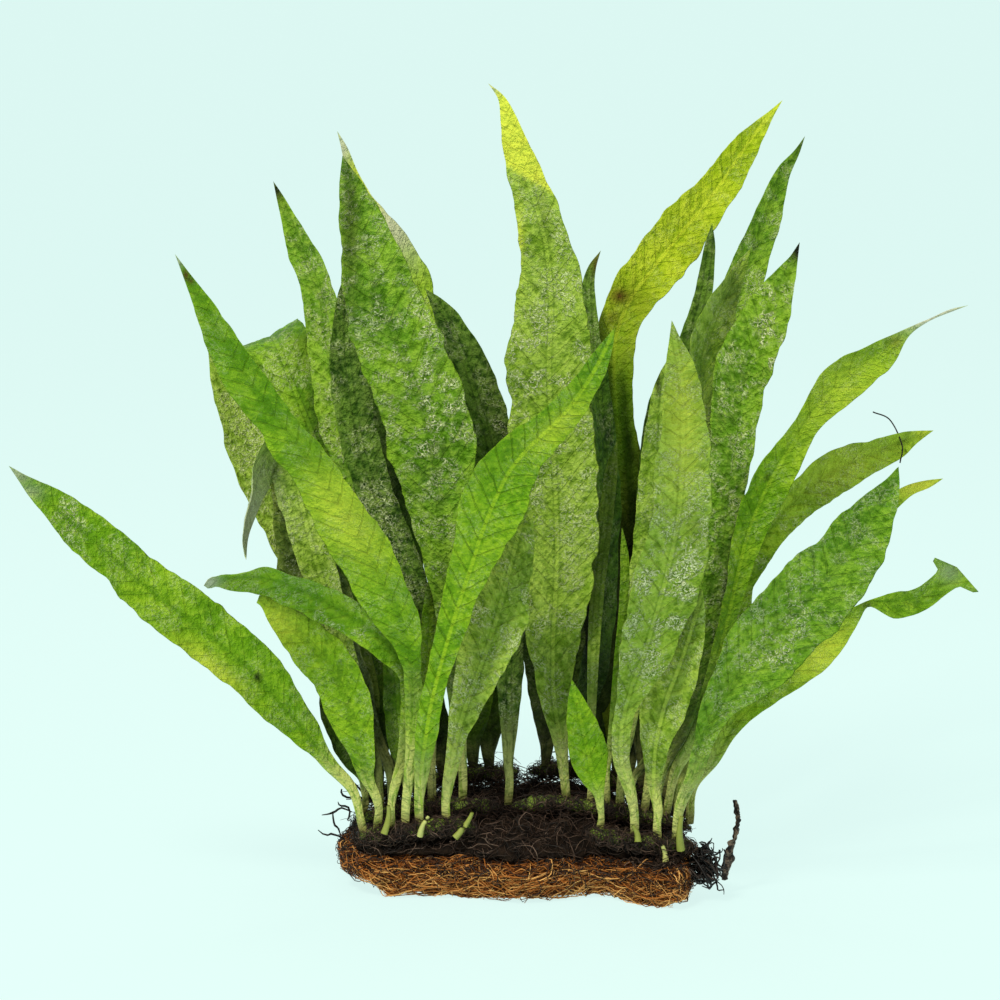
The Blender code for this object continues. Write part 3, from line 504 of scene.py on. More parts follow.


# per leaf: greens, share of painted wet sheen, flecks of painted wet sheen, midrib (pale above 0, dark
# below), veins, waviness of the margins
# and marks as (what, strength, column, row, width, height, turn)
leafLooks = {
    "far_left": ("bright", 0.15, 0.3, -0.7, 0.5, 1.3, [
        ("yellow", 0.5, 210, 668, 40, 12, 38), ("grey", 0.6, 16, 474, 14, 10),
        ("dark", 1.0, 257, 678, 4, 4), ("grey", 0.4, 28, 492, 14, 8),
        ("silver", 0.4, 70, 520, 50, 30)]),
    "left_long": ("bright", 0.1, 0.25, -0.5, 0.8, 0.8, [
        ("brown", 1.0, 186, 275, 3, 5), ("brown", 0.8, 191, 281, 3, 3), ("grey", 0.6, 178, 260, 5, 8),
        ("yellow", 0.5, 348, 515, 30, 56, -35)]),
    "left_silver": ("silver", 0.8, 0.8, -0.2, 0.3, 0.7, []),
    "bent_over": ("silver", 0.9, 0.7, 0.2, 0.3, 0.8, [("grey", 0.8, 250, 530, 24, 60)]),
    "left_olive": ("olive", 0.4, 0.5, -0.2, 0.5, 0.8, [("silver", 0.8, 293, 540, 6, 60)]),
    "left_broad": ("mid", 0.1, 0.5, 0.2, 0.5, 0.6, []),
    "left_arching": ("bright", 0.15, 0.4, -0.6, 0.5, 2.2, [
        ("grey", 0.8, 208, 582, 12, 10), ("silver", 0.4, 340, 628, 50, 14, 25)]),
    "left_low_yellow": ("fresh", 0.1, 0.3, -0.3, 0.5, 1.0, [("yellow", 0.45, 275, 625, 24, 24)]),
    "left_low_dark": ("dark", 0.1, 0.2, 0.0, 0.4, 1.0, []),
    "low_left_green": ("mid", 0.2, 0.3, 0.2, 0.4, 0.8, []),
    "tall_dark_tip": ("mid", 0.5, 0.7, -0.2, 0.4, 0.7, [("dark", 0.9, 277, 190, 8, 12)]),
    "biggest_left": ("mid", 0.4, 0.8, -0.3, 0.7, 0.6, [
        # the dark band is painted shade down the fold of the midrib
        ("dark", 0.6, 350, 230, 9, 80), ("silver", 0.6, 420, 332, 28, 20),
        ("silver", 0.7, 432, 410, 45, 60)]),
    "yellow_margin": ("fresh", 0.3, 0.4, 0.1, 0.4, 1.2, [
        ("yellow", 0.9, 372, 200, 26, 40, -35), ("grey", 0.8, 342, 145, 10, 20),
        ("grey", 0.8, 392, 225, 22, 36, -35)]),
    "dark_middle": ("dark", 0.5, 0.6, 0.1, 0.5, 0.7, [("silver", 0.9, 495, 430, 14, 12)]),
    "tallest": ("silver", 0.55, 0.8, 0.35, 0.6, 0.6, [
        ("yellow", 0.6, 518, 240, 5, 34), ("silver", 0.5, 545, 380, 38, 70),
        ("dark", 0.3, 545, 215, 5, 30, -10), ("grey", 0.5, 492, 88, 8, 8)]),
    "front_crossing": ("bright", 0.1, 0.2, 0.9, 1.0, 0.7, [("yellow", 0.3, 560, 425, 40, 14, -40)]),
    "edge_right_of_tallest": ("silver", 0.8, 0.5, 0.0, 0.2, 0.6, []),
    "narrow_dark": ("dark", 0.1, 0.3, 0.0, 0.3, 0.6, []),
    "tall_yellow_right": ("yellow", 0.1, 0.2, 0.7, 0.5, 0.8, [
        ("brown", 0.9, 620, 296, 10, 8), ("brown", 0.5, 612, 318, 8, 10),
        ("dark", 0.25, 640, 300, 16, 20), ("green", 0.9, 622, 430, 34, 110)]),
    "torn_tip": ("dark", 0.2, 0.3, 0.0, 0.3, 1.0, [("brown", 0.6, 598, 262, 8, 14)]),
    "lower_middle": ("silver", 0.6, 0.9, 0.25, 0.6, 0.7, []),
    "short_bright": ("bright", 0.1, 0.2, 0.2, 0.6, 0.8, []),
    # this leaf's dark mark is painted shade low in the plant
    "in_shade": ("olive", 0.1, 0.2, 0.0, 0.3, 0.6, [("dark", 0.6, 605, 600, 30, 120)]),
    "bright_edge": ("bright", 0.3, 0.2, 0.0, 0.2, 0.4, []),
    "front_right": ("silver", 0.4, 0.8, 0.4, 0.7, 0.7, [
        ("yellow", 0.5, 682, 420, 20, 70), ("silver", 0.9, 668, 600, 44, 70),
        ("dark", 0.3, 694, 528, 9, 16, -20)]),
    "right_low_grey": ("silver", 0.6, 0.6, 0.7, 0.5, 0.8, []),
    # this leaf's dark mark is a painted shadow of the leaf in front
    "behind_front_right": ("silver", 0.5, 0.6, 0.2, 0.4, 0.6, [("dark", 0.9, 658, 380, 3, 16)]),
    "right_tall": ("mid", 0.35, 0.6, -0.4, 0.4, 0.6, [("dark", 0.4, 800, 148, 8, 16)]),
    "right_grey_green": ("silver", 0.4, 0.5, 0.1, 0.4, 0.7, [("dark", 0.35, 735, 290, 16, 40)]),
    "right_black_tip": ("mid", 0.4, 0.8, -0.2, 0.5, 0.9, [
        ("dark", 1.0, 798, 250, 8, 12), ("silver", 0.6, 770, 340, 14, 60)]),
    "narrow_back": ("dark", 0.2, 0.3, 0.2, 0.3, 0.5, []),
    "withered_tip": ("bright", 0.1, 0.25, 0.5, 0.5, 1.2, [
        ("grey", 1.2, 938, 316, 44, 16), ("brown", 0.4, 895, 342, 8, 8), ("dark", 1.0, 768, 478, 3, 3),
        ("yellow", 0.3, 850, 400, 70, 70)]),
    "right_spotted": ("fresh", 0.3, 0.5, -0.6, 0.5, 0.9, [
        ("yellow", 0.4, 925, 434, 14, 8), ("yellow", 0.35, 850, 465, 70, 30, -25)]),
    "right_low_big": ("mid", 0.3, 0.5, -0.2, 0.6, 1.0, [("silver", 0.7, 780, 640, 26, 40)]),
    "yellow_tip_right": ("fresh", 0.1, 0.2, 0.2, 0.3, 0.8, [("yellow", 0.8, 920, 486, 30, 12)]),
    "lowest_right": ("fresh", 0.2, 0.3, 0.1, 0.5, 0.9, [
        ("yellow", 0.6, 820, 650, 36, 24, -40), ("grey", 0.4, 950, 572, 10, 10),
        ("dark", 0.5, 866, 604, 8, 5)]),
    "small_bright_right": ("bright", 0.1, 0.2, 0.1, 0.3, 0.6, []),
    "right_dark": ("dark", 0.2, 0.4, 0.1, 0.4, 0.8, []),
    "left_of_biggest": ("dark", 0.5, 0.7, 0.0, 0.4, 0.7, [
        ("silver", 0.8, 388, 510, 10, 14), ("silver", 0.8, 434, 556, 12, 14)]),
    # this leaf's dark mark is painted shade low in the plant
    "dark_gap_left": ("dark", 0.1, 0.2, 0.0, 0.3, 0.7, [("dark", 0.6, 386, 480, 30, 120)]),
    "olive_back": ("olive", 0.3, 0.3, 0.0, 0.4, 0.7, []),
    "low_green": ("fresh", 0.2, 0.3, 0.3, 0.4, 0.7, []),
    "rear_left": ("mid", 0.3, 0.4, -0.3, 0.5, 0.8, []),
    "rear_middle_left": ("mid", 0.35, 0.4, 0.3, 0.5, 0.8, []),
    "rear_middle": ("dark", 0.4, 0.5, -0.3, 0.5, 0.8, []),
    "rear_middle_right": ("mid", 0.3, 0.4, 0.4, 0.5, 0.8, []),
    "rear_right": ("dark", 0.35, 0.5, -0.3, 0.5, 0.8, []),
    "rear_far_right": ("mid", 0.3, 0.4, 0.2, 0.5, 0.9, []),
}
sideMarks = {"leaf_tallest": ("yellow", (508, 167), (552, 192))}  # a mark to one side of a line
markOrder = ("yellow", "dark", "grey", "brown", "silver", "green")
markColours = {
    "yellow": linear(216, 226, 72),
    # dark: the leaves' dark spots, and painted shade where a dark mark stands for it
    "dark": linear(22, 28, 8),
    "grey": linear(190, 194, 164),
    "brown": linear(88, 62, 20),
    # silver is the painted sheen of the wet leaves, glint their painted highlights
    "silver": linear(186, 208, 106),
    "glint": linear(238, 246, 192),
    "green": linear(96, 138, 22),
    "stalk": linear(206, 210, 122),
    "foot": linear(112, 104, 52),
    # painted shade
    "paintedShade": linear(16, 22, 8),
}


def leafPaint(name, look, seed):
    greens, sheenShare, sheenFlecks, rib, veins, _, _ = look
    base, pale, dark = (linear(*tone) for tone in leafGreens[greens])
    paint = Paint(name.replace("leaf_", "leafSkin_"))
    across, along, half = paint.parts("place")
    yellow, shade, grey = paint.parts("marksA")
    brown, silver, green = paint.parts("marksB")
    stalk, foot, paintedShade = paint.parts("marksC")
    slope = along - abs(across) * leaf["veinSlope"]
    spread = paint.vector(across * 100, along * 100, seed * 7.3)  # in centimetres
    slant = paint.vector(across * 92, slope * 112, seed * 3.1)  # drawn out a little along the side veins
    broad, patches, crumple, worms, specks, grain = (paint.noise(spread, *facts) for facts in (
        (0.4, 2.0), (1.1, 3.0), (4.2, 3.0, 0.55), (6.5, 2.0, 0.5), (14.0, 2.0, 0.6), (34.0, 2.0, 0.7)))
    mottle = paint.noise(slant, 2.0, 5.0, 0.62)
    streaks = paint.noise(paint.vector(across * 500, along * 60, seed * 5.1), 2.0, 3.0)
    vein = 1 - abs((slope / leaf["veinSpacing"] + mottle * 0.5).fraction() - 0.5).ramp(0.015, 0.07)
    net = 1 - paint.cells(spread, 4.5).ramp(0.0, 0.08)
    ribLine = 1 - abs(across).ramp(0.3 * mm, 0.9 * mm)
    ribEdge = abs(across).ramp(0.5 * mm, 0.9 * mm) * (1 - abs(across).ramp(0.9 * mm, 1.8 * mm))
    margin = (abs(across) / (half + 0.05 * mm)).ramp(0.9, 1.0)
    # where the painted sheen of the wet skin goes: the silver marks and the flecks
    wetSheen = ((silver * 0.9 + 0.6 * sheenFlecks) * patches.ramp(0.45, 0.6)).clamped()
    paintedSheen = (wetSheen * 0.5 + sheenShare * 0.35).clamped() * crumple.ramp(0.34, 0.6)
    # painted highlights: glints on the wet skin
    glint = (1 - abs(worms - 0.5).ramp(0.026, 0.08)) * wetSheen * specks.ramp(0.36, 0.5)
    # painted shade in the creases beside the glints
    creaseShade = (1 - abs(worms - 0.4).ramp(0.01, 0.05)) * wetSheen
    colour = base
    for share, tone in (
            (mottle.ramp(0.52, 0.36) * 0.6 + broad.ramp(0.5, 0.3) * 0.4, dark),
            (broad.ramp(0.42, 0.62) * (mottle.ramp(0.4, 0.6) * 0.6 + 0.3), pale),
            # painted shade in the hollows and painted light on the rises of the fine relief that the bump
            # also draws
            (crumple.ramp(0.47, 0.34) * 0.55, dark),
            (crumple.ramp(0.53, 0.66) * 0.6, pale),
            # painted sheen: the reflection on the wet skin, painted in silver
            (paintedSheen, markColours["silver"]),
            (creaseShade * 0.7, dark),
            (glint, markColours["glint"]),
            (specks.ramp(0.4, 0.3) * (wetSheen * 0.6 + 0.2), dark),
            (grain.ramp(0.52, 0.7) * 0.25, dark),
            (vein * 0.22 * veins, dark),
            (net * 0.13, dark),
            (ribEdge * 0.4, dark),
            (ribLine * abs(rib), pale if rib > 0 else dark),
            (margin * 0.3, pale),
            (stalk * (1 - streaks.ramp(0.5, 0.62) * 0.7), markColours["stalk"])):
        colour = paint.mix(share, colour, tone)
    # the last layer is painted shade behind other leaves and deep in the plant
    layers = {"green": green, "yellow": yellow, "grey": grey, "brown": brown, "dark": shade, "foot": foot,
              "paintedShade": paintedShade}
    for what, share in layers.items():
        colour = paint.mix((share * (mottle * 0.7 + 0.75)).clamped(), colour, markColours[what])
    rough = 0.36 + mottle * 0.25 + grey * 0.2 + brown * 0.2 - glint * 0.12
    height = mottle * 0.5 + crumple * 0.9 + specks * 0.15 - vein * 0.25 * veins + glint * 0.3
    return paint.finish(colour, rough, paint.bump(height, leaf["crumple"]), gloss=0.1)


rays = {  # rays towards the light from the front, and how much painted shade other leaves in their way put on a place
    "reach": 75 * mm,
    "start": 1.6 * mm,
    "every": 4,
    "ways": [Vector(way).normalized() for way in (
        (0, -1, 0.3), (0, -1, 0.9), (0.7, -1, 0.5), (-0.7, -1, 0.5), (0.5, -1, 0), (-0.5, -1, 0),
        (0.4, -0.4, 1), (-0.4, -0.4, 1))],
    "growth": 1.5, "least": 0.2, "most": 0.85,
}
hangingRoots = {"leaf_right_spotted": ((873, 412), (890, 420), (902, 445), (900, 463))}


def leafScreen(nodes):  # all the leaves' solids in one tree, and which leaf each face belongs to
    points, faces, owners = [], [], []
    for node in nodes:
        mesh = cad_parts[node].data
        start = len(points)
        points += [tuple(v.co) for v in mesh.vertices]
        faces += [tuple(start + k for k in p.vertices) for p in mesh.polygons]
        owners += [node] * len(mesh.polygons)
    return BVHTree.FromPolygons(points, faces), owners


def hiddenShare(point, node):  # how much other leaves stand between this point and the light
    tree, owners = screen
    hidden = 0.0
    for way in rays["ways"]:
        _, _, face, far = tree.ray_cast(Vector(point) + way * rays["start"], way, rays["reach"])
        if face is not None and owners[face] != node:
            hidden += 1 - far / rays["reach"]
    return hidden / len(rays["ways"])


def leafPaintedShade(points, count, spots, node):  # painted shade behind other leaves and deep in the plant
    picked = np.arange(0, count, rays["every"])
    front = points.reshape(count, -1, 3)[picked][:, :len(spots):2]
    hidden = np.array([hiddenShare(point, node) for point in front.reshape(-1, 3)]).reshape(len(picked), -1)
    hidden = np.stack([np.interp(np.arange(count), picked, column) for column in hidden.T], axis=1)
    hidden = np.stack([np.interp(spots, spots[::2], row) for row in hidden])
    hidden = np.hstack([hidden, hidden[:, -2:0:-1]]).ravel()
    x, y, z = points.T
    # painted shade deep in the plant: low down, towards the back and the middle
    deep = (smoothStep((115 * mm - z) / (80 * mm)) * smoothStep((y + 22 * mm) / (40 * mm))
            * (1 - smoothStep((abs(x + 5 * mm) - 45 * mm) / (35 * mm))))
    hidden = hidden * rays["growth"] - rays["least"]
    return np.clip(np.maximum(deep * rays["most"], hidden), 0, rays["most"])


def wingHalf(run, widest, footDepth, seed):  # half the width of the stalk's wings, which end in the blade
    front, back = leaf["wingGrowth"]
    growth = front + (back - front) * smoothStep((footDepth + 4 * mm) / (12 * mm))
    growth *= 0.85 + 0.3 * (seed * 0.618 % 1)
    wings = leaf["wingStart"] + growth * np.minimum(run, leaf["wingReach"])
    wings = np.minimum(wings * np.minimum(1, widest / (9 * mm)), widest * leaf["wingMost"])
    return wings * (1 - smoothStep((run / run[-1] - 0.35) / 0.3))


def leafCourse(node, seed):  # what is known at each step along a leaf, from its foot to its tip
    left, middle, right = leafLines(node)
    down = middle[0] - middle[1]
    down *= leaf["footReach"] / np.linalg.norm(down)
    left, middle, right = (np.vstack([line[:1] + down, line]) for line in (left, middle, right))
    knots = lengthsAlong(middle)
    count = int(knots[-1] / leaf["step"])
    run = np.linspace(0, knots[-1], count)
    left, middle, right = (throughPoints(knots, line, run) for line in (left, middle, right))
    reach = (right - left) / 2
    half = np.linalg.norm(reach, axis=1)
    side = reach / np.maximum(half, 1e-7)[:, None]
    half = np.maximum(half, wingHalf(run, half.max(), middle[0, 1], seed))
    for index in range(count - 1, 0, -1):  # at the very tip the direction comes from just before it
        if half[index] < 0.4 * mm and index > count * 0.8:
            side[index] = side[min(index, count - 4) - 3]
    out = unit(np.cross(side, unit(np.gradient(middle, axis=0))))
    out *= -np.sign(out[count // 2] @ sight)
    stalkWide, fade = leaf["stalkWide"]
    blade = smoothStep((half * 2 - stalkWide) / fade)
    stalk = (1 - blade) * (1 - smoothStep(2.2 * run / run[-1]))
    return {"run": run, "middle": middle, "side": side, "out": out, "half": half, "blade": blade,
            "cup": (left + right) / 2 - middle, "stalk": stalk}


def leafWaves(run, seed):  # of the outline and of the surface, for the left (-1) and the right (1)
    wobble = {hand: sum(waves(run, size, seed + hand * step) * share for size, step, share in leaf["wobble"])
              for hand in (-1, 1)}
    ripple = {-1: waves(run, 11 * mm, seed + 100), 1: waves(run, 12 * mm, seed + 150)}
    return wobble, ripple, waves(run, 26 * mm, seed + 200)


def leafLayer(course, wavy, waviness, t, face):  # its points at the share t of the width, front or back
    wobble, ripple, slow = wavy
    run, half, blade, stalk = (course[key] for key in ("run", "half", "blade", "stalk"))
    hand, edge = (-1 if t < 0 else 1), abs(t)
    across = t * half * (1 + wobble[hand] * blade)
    ribFront, ribBack = leaf["ribWide"]
    phase = (run - abs(across) * leaf["veinSlope"]) / leaf["veinSpacing"]
    lift = leaf["quilt"] * np.cos(2 * math.pi * phase) * (1 - edge ** 4) * np.minimum(edge * 3, 1)
    lift -= leaf["rib"] * np.exp(-((across / ribFront) ** 2))
    lift += waviness * half * leaf["ripple"] * ripple[hand] * edge ** 2.2
    lift += half * leaf["sway"] * slow * t
    flat = leaf["bladeThick"] * (1 - edge ** 4) + leaf["marginThick"] * edge ** 4
    if face < 0:
        flat = flat + leaf["rib"] * 1.6 * np.exp(-((across / ribBack) ** 2))
    stout = 2 * half * leaf["stalkThick"] * math.sqrt(max(1 - t * t, 0.02))
    thick = np.minimum(flat * (1 - stalk) + stout * stalk, np.maximum(half * 1.2, 0.1 * mm))
    raised = lift * blade + face * thick / 2
    points = course["middle"] + course["side"] * across[:, None] + course["cup"] * (edge ** 1.7)
    return points + course["out"] * raised[:, None], np.stack([across, run, half], axis=1)


def leafMarks(node, points, marks):  # the strength of each kind of mark at each point
    columns, rows = seenAt(points)
    shares = {what: np.zeros(len(points)) for what in markOrder}
    for what, strength, *where in marks:
        shares[what] = np.maximum(shares[what], strength * spotShare(columns, rows, *where))
    if node in sideMarks:
        what, first, last = sideMarks[node]
        shares[what] = np.maximum(shares[what], sideShare(columns, rows, first, last))
    return np.stack([shares[what] for what in markOrder], axis=1)


def hangingRoot(knots, middle):  # it follows the leaf's own depth
    knots = np.array(knots, float)
    near = [np.argmin(np.hypot(*(np.array(seenAt(middle)).T - knot).T)) for knot in knots]
    path = np.array([seenPoint(*knot, middle[k, 1] - 1.5 * mm) for knot, k in zip(knots, near)])
    path = throughPoints(np.arange(len(path)), path, np.linspace(0, len(path) - 1, 24))
    skin = strandPaint("hangingRoot", rootStops, 0.6)
    return fibreMesh("hair", path[None], np.full((1, 24), 0.28 * mm), np.array([0.05]), skin, 6)


def makeLeaf(node, seed):
    look = leafLooks[node.removeprefix("leaf_")]
    course = leafCourse(node, seed)
    half, count = course["half"], len(course["run"])
    wavy = leafWaves(course["run"], seed)
    spots = np.sin(np.linspace(-math.pi / 2, math.pi / 2, 13 if half.max() > 4.5 * mm else 9))
    columns = [leafLayer(course, wavy, look[5], t, 1) for t in spots]
    columns += [leafLayer(course, wavy, look[5], t, -1) for t in spots[-2:0:-1]]
    points, places = (np.stack([column[k] for column in columns], axis=1).reshape(-1, 3) for k in (0, 1))
    around = len(columns)
    marks = leafMarks(node, points, look[6])
    stalkShare = np.repeat(course["stalk"], around) * 0.95
    footShare = smoothStep(1 - places[:, 1] / (9 * mm)) * 0.8
    # painted shade, kept on the mesh for the skin
    paintedShade = leafPaintedShade(points, count, spots, node)
    attributes = {"place": places, "marksA": marks[:, :3], "marksB": marks[:, 3:],
                  "marksC": np.stack([stalkShare, footShare, paintedShade], axis=1)}
    skin = leafPaint(node, look, seed)
    piece = makeObject(node.replace("leaf_", "frond_"), points, tubeFaces(count, around), skin, attributes)
    shape = bmesh.new()
    shape.from_mesh(piece.data)
    bmesh.ops.recalc_face_normals(shape, faces=shape.faces)
    if shape.calc_volume(signed=True) < 0:
        bmesh.ops.reverse_faces(shape, faces=shape.faces)
    shape.to_mesh(piece.data)
    shape.free()
    if node in hangingRoots:
        piece = joined(piece.name, [piece, hangingRoot(hangingRoots[node], course["middle"])])
    place(piece, node)


leafNodes = [node for node in sorted(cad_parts) if node.startswith("leaf_")]
screen = leafScreen(leafNodes)
for seed, node in enumerate(leafNodes):
    makeLeaf(node, seed)
print("leaves", len(leafNodes))


# the mat of coconut fibre
mat = {  # strides, lifts and reaches in millimetres
    "shape": {"cell": 1.6 * mm, "lump": 1.8 * mm, "lumpWide": 6 * mm, "sunk": 1.0 * mm},
    "fibres": {"count": 3100, "steps": 10, "bend": 0.15, "stride": (1.0, 2.6), "lift": (0.1, 1.25),
               "liftPower": 1.3, "loose": 0.5},
    "strays": {"count": 260, "steps": 7, "spread": 0.8, "curl": 0.5, "reach": (2, 6)},
    "tilt": 0.26, "thick": (0.10 * mm, 0.27 * mm), "strayThick": (0.1 * mm, 0.2 * mm),
    "stops": (linear(64, 30, 10), linear(176, 104, 38), linear(244, 186, 108)),
}


def makeMat():
    rng = np.random.default_rng(11)
    shape = evenShape("coir_mat", mat["shape"], 3)
    core = makeObject("mat_core", *shape, corePaint("coirShade", linear(40, 19, 7), linear(104, 56, 20)))
    skin = strandPaint("coirStrand", mat["stops"])
    size = mat["fibres"]
    starts, normals = sampled(*shape, size["count"], rng,
                              lambda m, n: 0.3 + 1.4 * (1 - abs(n[:, 2])) - 0.2 * (n[:, 2] < -0.9))
    level = unit(np.cross(normals, np.array([0, 0, 1.0])), 1e-6)
    level += rng.normal(0, mat["tilt"], level.shape)
    level *= rng.choice([-1, 1], len(level))[:, None]
    paths = walkOver(shape, starts, level, size, rng)
    height = paths.mean(axis=1)[:, 2] / (17 * mm)
    shades = np.clip(rng.beta(1.5, 1.8, len(starts)) * 1.15 - 0.35 * height ** 2 + 0.05, 0, 1)
    radii = rng.uniform(*mat["thick"], len(starts))
    fibres = fibreMesh("mat_fibres", paths, taper(radii, size["steps"]), shades, skin)
    paths = straying(shape, mat["strays"], lambda m, n: 0.1 + (1 - abs(n[:, 2])), rng)
    radii = taper(rng.uniform(*mat["strayThick"], len(paths)), mat["strays"]["steps"])
    strays = fibreMesh("mat_strays", paths, radii, rng.uniform(0.2, 1, len(paths)), skin)
    place(joined("coir_mat_fibres", [core, fibres, strays]), "coir_mat")
    return shape


matShape = makeMat()
print("mat")


# the felt of roots, the rhizomes and the loose roots
roots = {  # strides, lifts and reaches in millimetres
    "shape": {"cell": 1.5 * mm, "lump": 2.6 * mm, "lumpWide": 5 * mm, "sunk": 0.0},
    "felt": {"count": 1900, "steps": 9, "bend": 0.4, "stride": (0.8, 2.2), "lift": (0.1, 1.6),
             "liftPower": 1.6, "loose": 0.6},
    "over": {"count": 700, "steps": 9, "bend": 0.35, "stride": (0.7, 1.8), "lift": (0.9, 1.9),
             "liftPower": 1.0, "loose": 0.5},
    "strays": {"count": 380, "steps": 9, "spread": 0.7, "curl": 0.55, "reach": (3, 11)},
    "mounds": [  # how many, and the corners of the box that they fill
        (460, (-56 * mm, 2 * mm, 21 * mm), (62 * mm, 17 * mm, 32 * mm)),
        (260, (-16 * mm, 4 * mm, 25 * mm), (24 * mm, 17 * mm, 40 * mm)),
    ],
    "thick": (0.10 * mm, 0.21 * mm), "strayThick": (0.09 * mm, 0.2 * mm), "wiryThick": 0.42 * mm,
}
wiryRoots = [  # at the mat's ends: first and last column and row, and how far back they lie
    ((345, 842), (318, 830), -12), ((341, 836), (334, 812), -14), ((352, 812), (322, 815), -10),
    ((338, 802), (349, 821), -10), ((356, 800), (341, 790), -6), ((349, 778), (380, 812), -4),
    ((372, 806), (352, 788), -2), ((700, 852), (712, 838), 6), ((694, 862), (706, 846), 2),
]


def moundRoots(rng):
    starts = np.vstack([rng.uniform(low, high, (count, 3)) for count, low, high in roots["mounds"]])
    headings = rng.normal(0, 1, starts.shape) * np.array([1, 0.8, 0.4])
    paths = looseRoots(starts, headings, rng.uniform(5, 15, len(starts)) * mm, 9, 0.35, rng, 15 * mm)
    paths[..., 2] = np.minimum(paths[..., 2], starts[:, None, 2] + 3 * mm)
    return paths


def wiryPaths():
    share = np.linspace(0, 1, 9)[:, None]
    paths = []
    for first, last, y in wiryRoots:
        start, end = seenPoint(*first, y * mm), seenPoint(*last, y * mm)
        wander = np.stack([waves(share[:, 0] * 2, 1, y + k * 9 + first[0]) for k in range(3)], axis=1)
        paths.append(start + (end - start) * share + wander * 3 * mm * np.sin(math.pi * share) ** 0.5)
    return np.array(paths)


def makeFelt():
    rng = np.random.default_rng(12)
    shape = evenShape("root_mass", roots["shape"], 9)
    core = makeObject("felt_core", *shape, corePaint("feltShade", linear(14, 10, 7), linear(44, 32, 23)))
    skin = strandPaint("rootStrand", rootStops, 0.6)
    thick = roots["thick"]
    paths = creeping(shape, roots["felt"], lambda m, n: 0.6 + (n[:, 2] > -0.5) * 1.0, rng, 12 * mm)
    pieces = [core, bundle("felt_fibres", paths, thick, (1.3, 2.6), skin, rng)]
    paths = creeping(matShape, roots["over"],
                     lambda m, n: smoothStep((m[:, 2] - 6 * mm) / (8 * mm)) * (n[:, 2] < 0.8), rng)
    pieces.append(bundle("felt_over", paths, thick, (1.2, 3.2), skin, rng))
    paths = straying(shape, roots["strays"], lambda m, n: 0.15 + (n[:, 2] > -0.2), rng, 10 * mm)
    pieces.append(bundle("felt_strays", paths, roots["strayThick"], (1.2, 2.4), skin, rng))
    pieces.append(bundle("felt_mound", moundRoots(rng), thick, (1.2, 3.2), skin, rng))
    paths = wiryPaths()
    radii = taper(np.full(len(paths), roots["wiryThick"]), 9, 0.12)
    pieces.append(fibreMesh("wiry", paths, radii, np.full(len(paths), 0.05), skin, 6))
    place(joined("root_felt", pieces), "root_mass")


makeFelt()
print("felt")


def rhizomePaint():
    paint = Paint("rhizomeSkin")
    where = paint.node("ShaderNodeNewGeometry")
    patches = paint.noise(where, 130.0, 4.0, 0.7)
    scales = paint.cells(where, 700.0)
    colour = paint.mix(patches.ramp(0.42, 0.56), linear(36, 26, 14), linear(112, 134, 40))
    colour = paint.mix(scales.ramp(0.0, 0.12), linear(22, 15, 8), colour)
    return paint.finish(colour, 0.6, paint.bump(patches * 0.6 + scales, 0.5 * mm))


rhizome = {
    "rings": 90, "sides": 20, "lump": 0.28, "ridge": 0.08, "stubSides": 8, "thick": (0.09 * mm, 0.2 * mm),
    "hairs": {"count": 700, "steps": 8, "bend": 0.35, "stride": (0.6, 1.6), "lift": (0.2, 1.5),
              "liftPower": 1.0, "loose": 0.5},
    "stubStops": (linear(84, 92, 34), linear(140, 150, 62), linear(190, 194, 112)),
}
stubs = {  # old broken stalks on a rhizome: foot, top and thickness, as the front view shows them
    "rhizome_front_left": [((455, 838), (470, 813), 1.0), ((420, 836), (431, 816), 0.9),
                           ((384, 834), (386, 806), 1.0)],
    "rhizome_front_right": [((638, 842), (630, 826), 1.0), ((681, 850), (684, 816), 1.2),
                            ((665, 868), (660, 846), 1.1)],
}


def knobbly(node, seed):  # the stem's middle line, and its surface with rings and knobs
    rings, sides = rhizome["rings"], rhizome["sides"]
    found = levelRings(node, 0, 2e4, 4)
    centres = np.array([ring.mean(axis=0) for ring in found])
    radii = np.array([np.linalg.norm(ring - ring.mean(axis=0), axis=1).mean() for ring in found])
    knots = lengthsAlong(centres)
    run = np.linspace(0, knots[-1], rings)
    line = throughPoints(knots, centres, run)
    points = []
    for k, (centre, radius) in enumerate(zip(line, np.interp(run, knots, radii))):
        end = min(1.0, 0.25 + min(k, rings - 1 - k) * 0.3)
        for angle in 2 * math.pi * np.arange(sides) / sides:
            probe = Vector((run[k] / (3 * mm), math.cos(angle) * 1.2, math.sin(angle) * 1.2 + seed * 5))
            ridge = rhizome["ridge"] * math.sin(run[k] / mm * 1.9)
            knob = 1 + rhizome["lump"] * noise.noise(probe) + ridge
            points.append(centre + radius * end * knob * np.array([0, math.cos(angle), math.sin(angle)]))
    return line, (np.array(points), tubeFaces(rings, sides))


def stalkStubs(node, depth, skin, rng):
    ends = [(seenPoint(*foot, depth), seenPoint(*top, depth), thick) for foot, top, thick in stubs[node]]
    share = np.linspace(0, 1, 10)[:, None]
    bow = np.sin(share * 2.4) * np.array([[1.2 * mm, 0.8 * mm, 0]])
    paths = np.array([foot + (top - foot) * share + bow * (-1) ** k
                      for k, (foot, top, _) in enumerate(ends)])
    thick = np.array([end[2] for end in ends]) * mm
    sizes = thick[:, None] * np.linspace(1.3, 0.6, 10)[None, :]
    shades = rng.uniform(0.4, 1, len(ends))
    return fibreMesh(node + "_stubs", paths, sizes, shades, skin, rhizome["stubSides"])


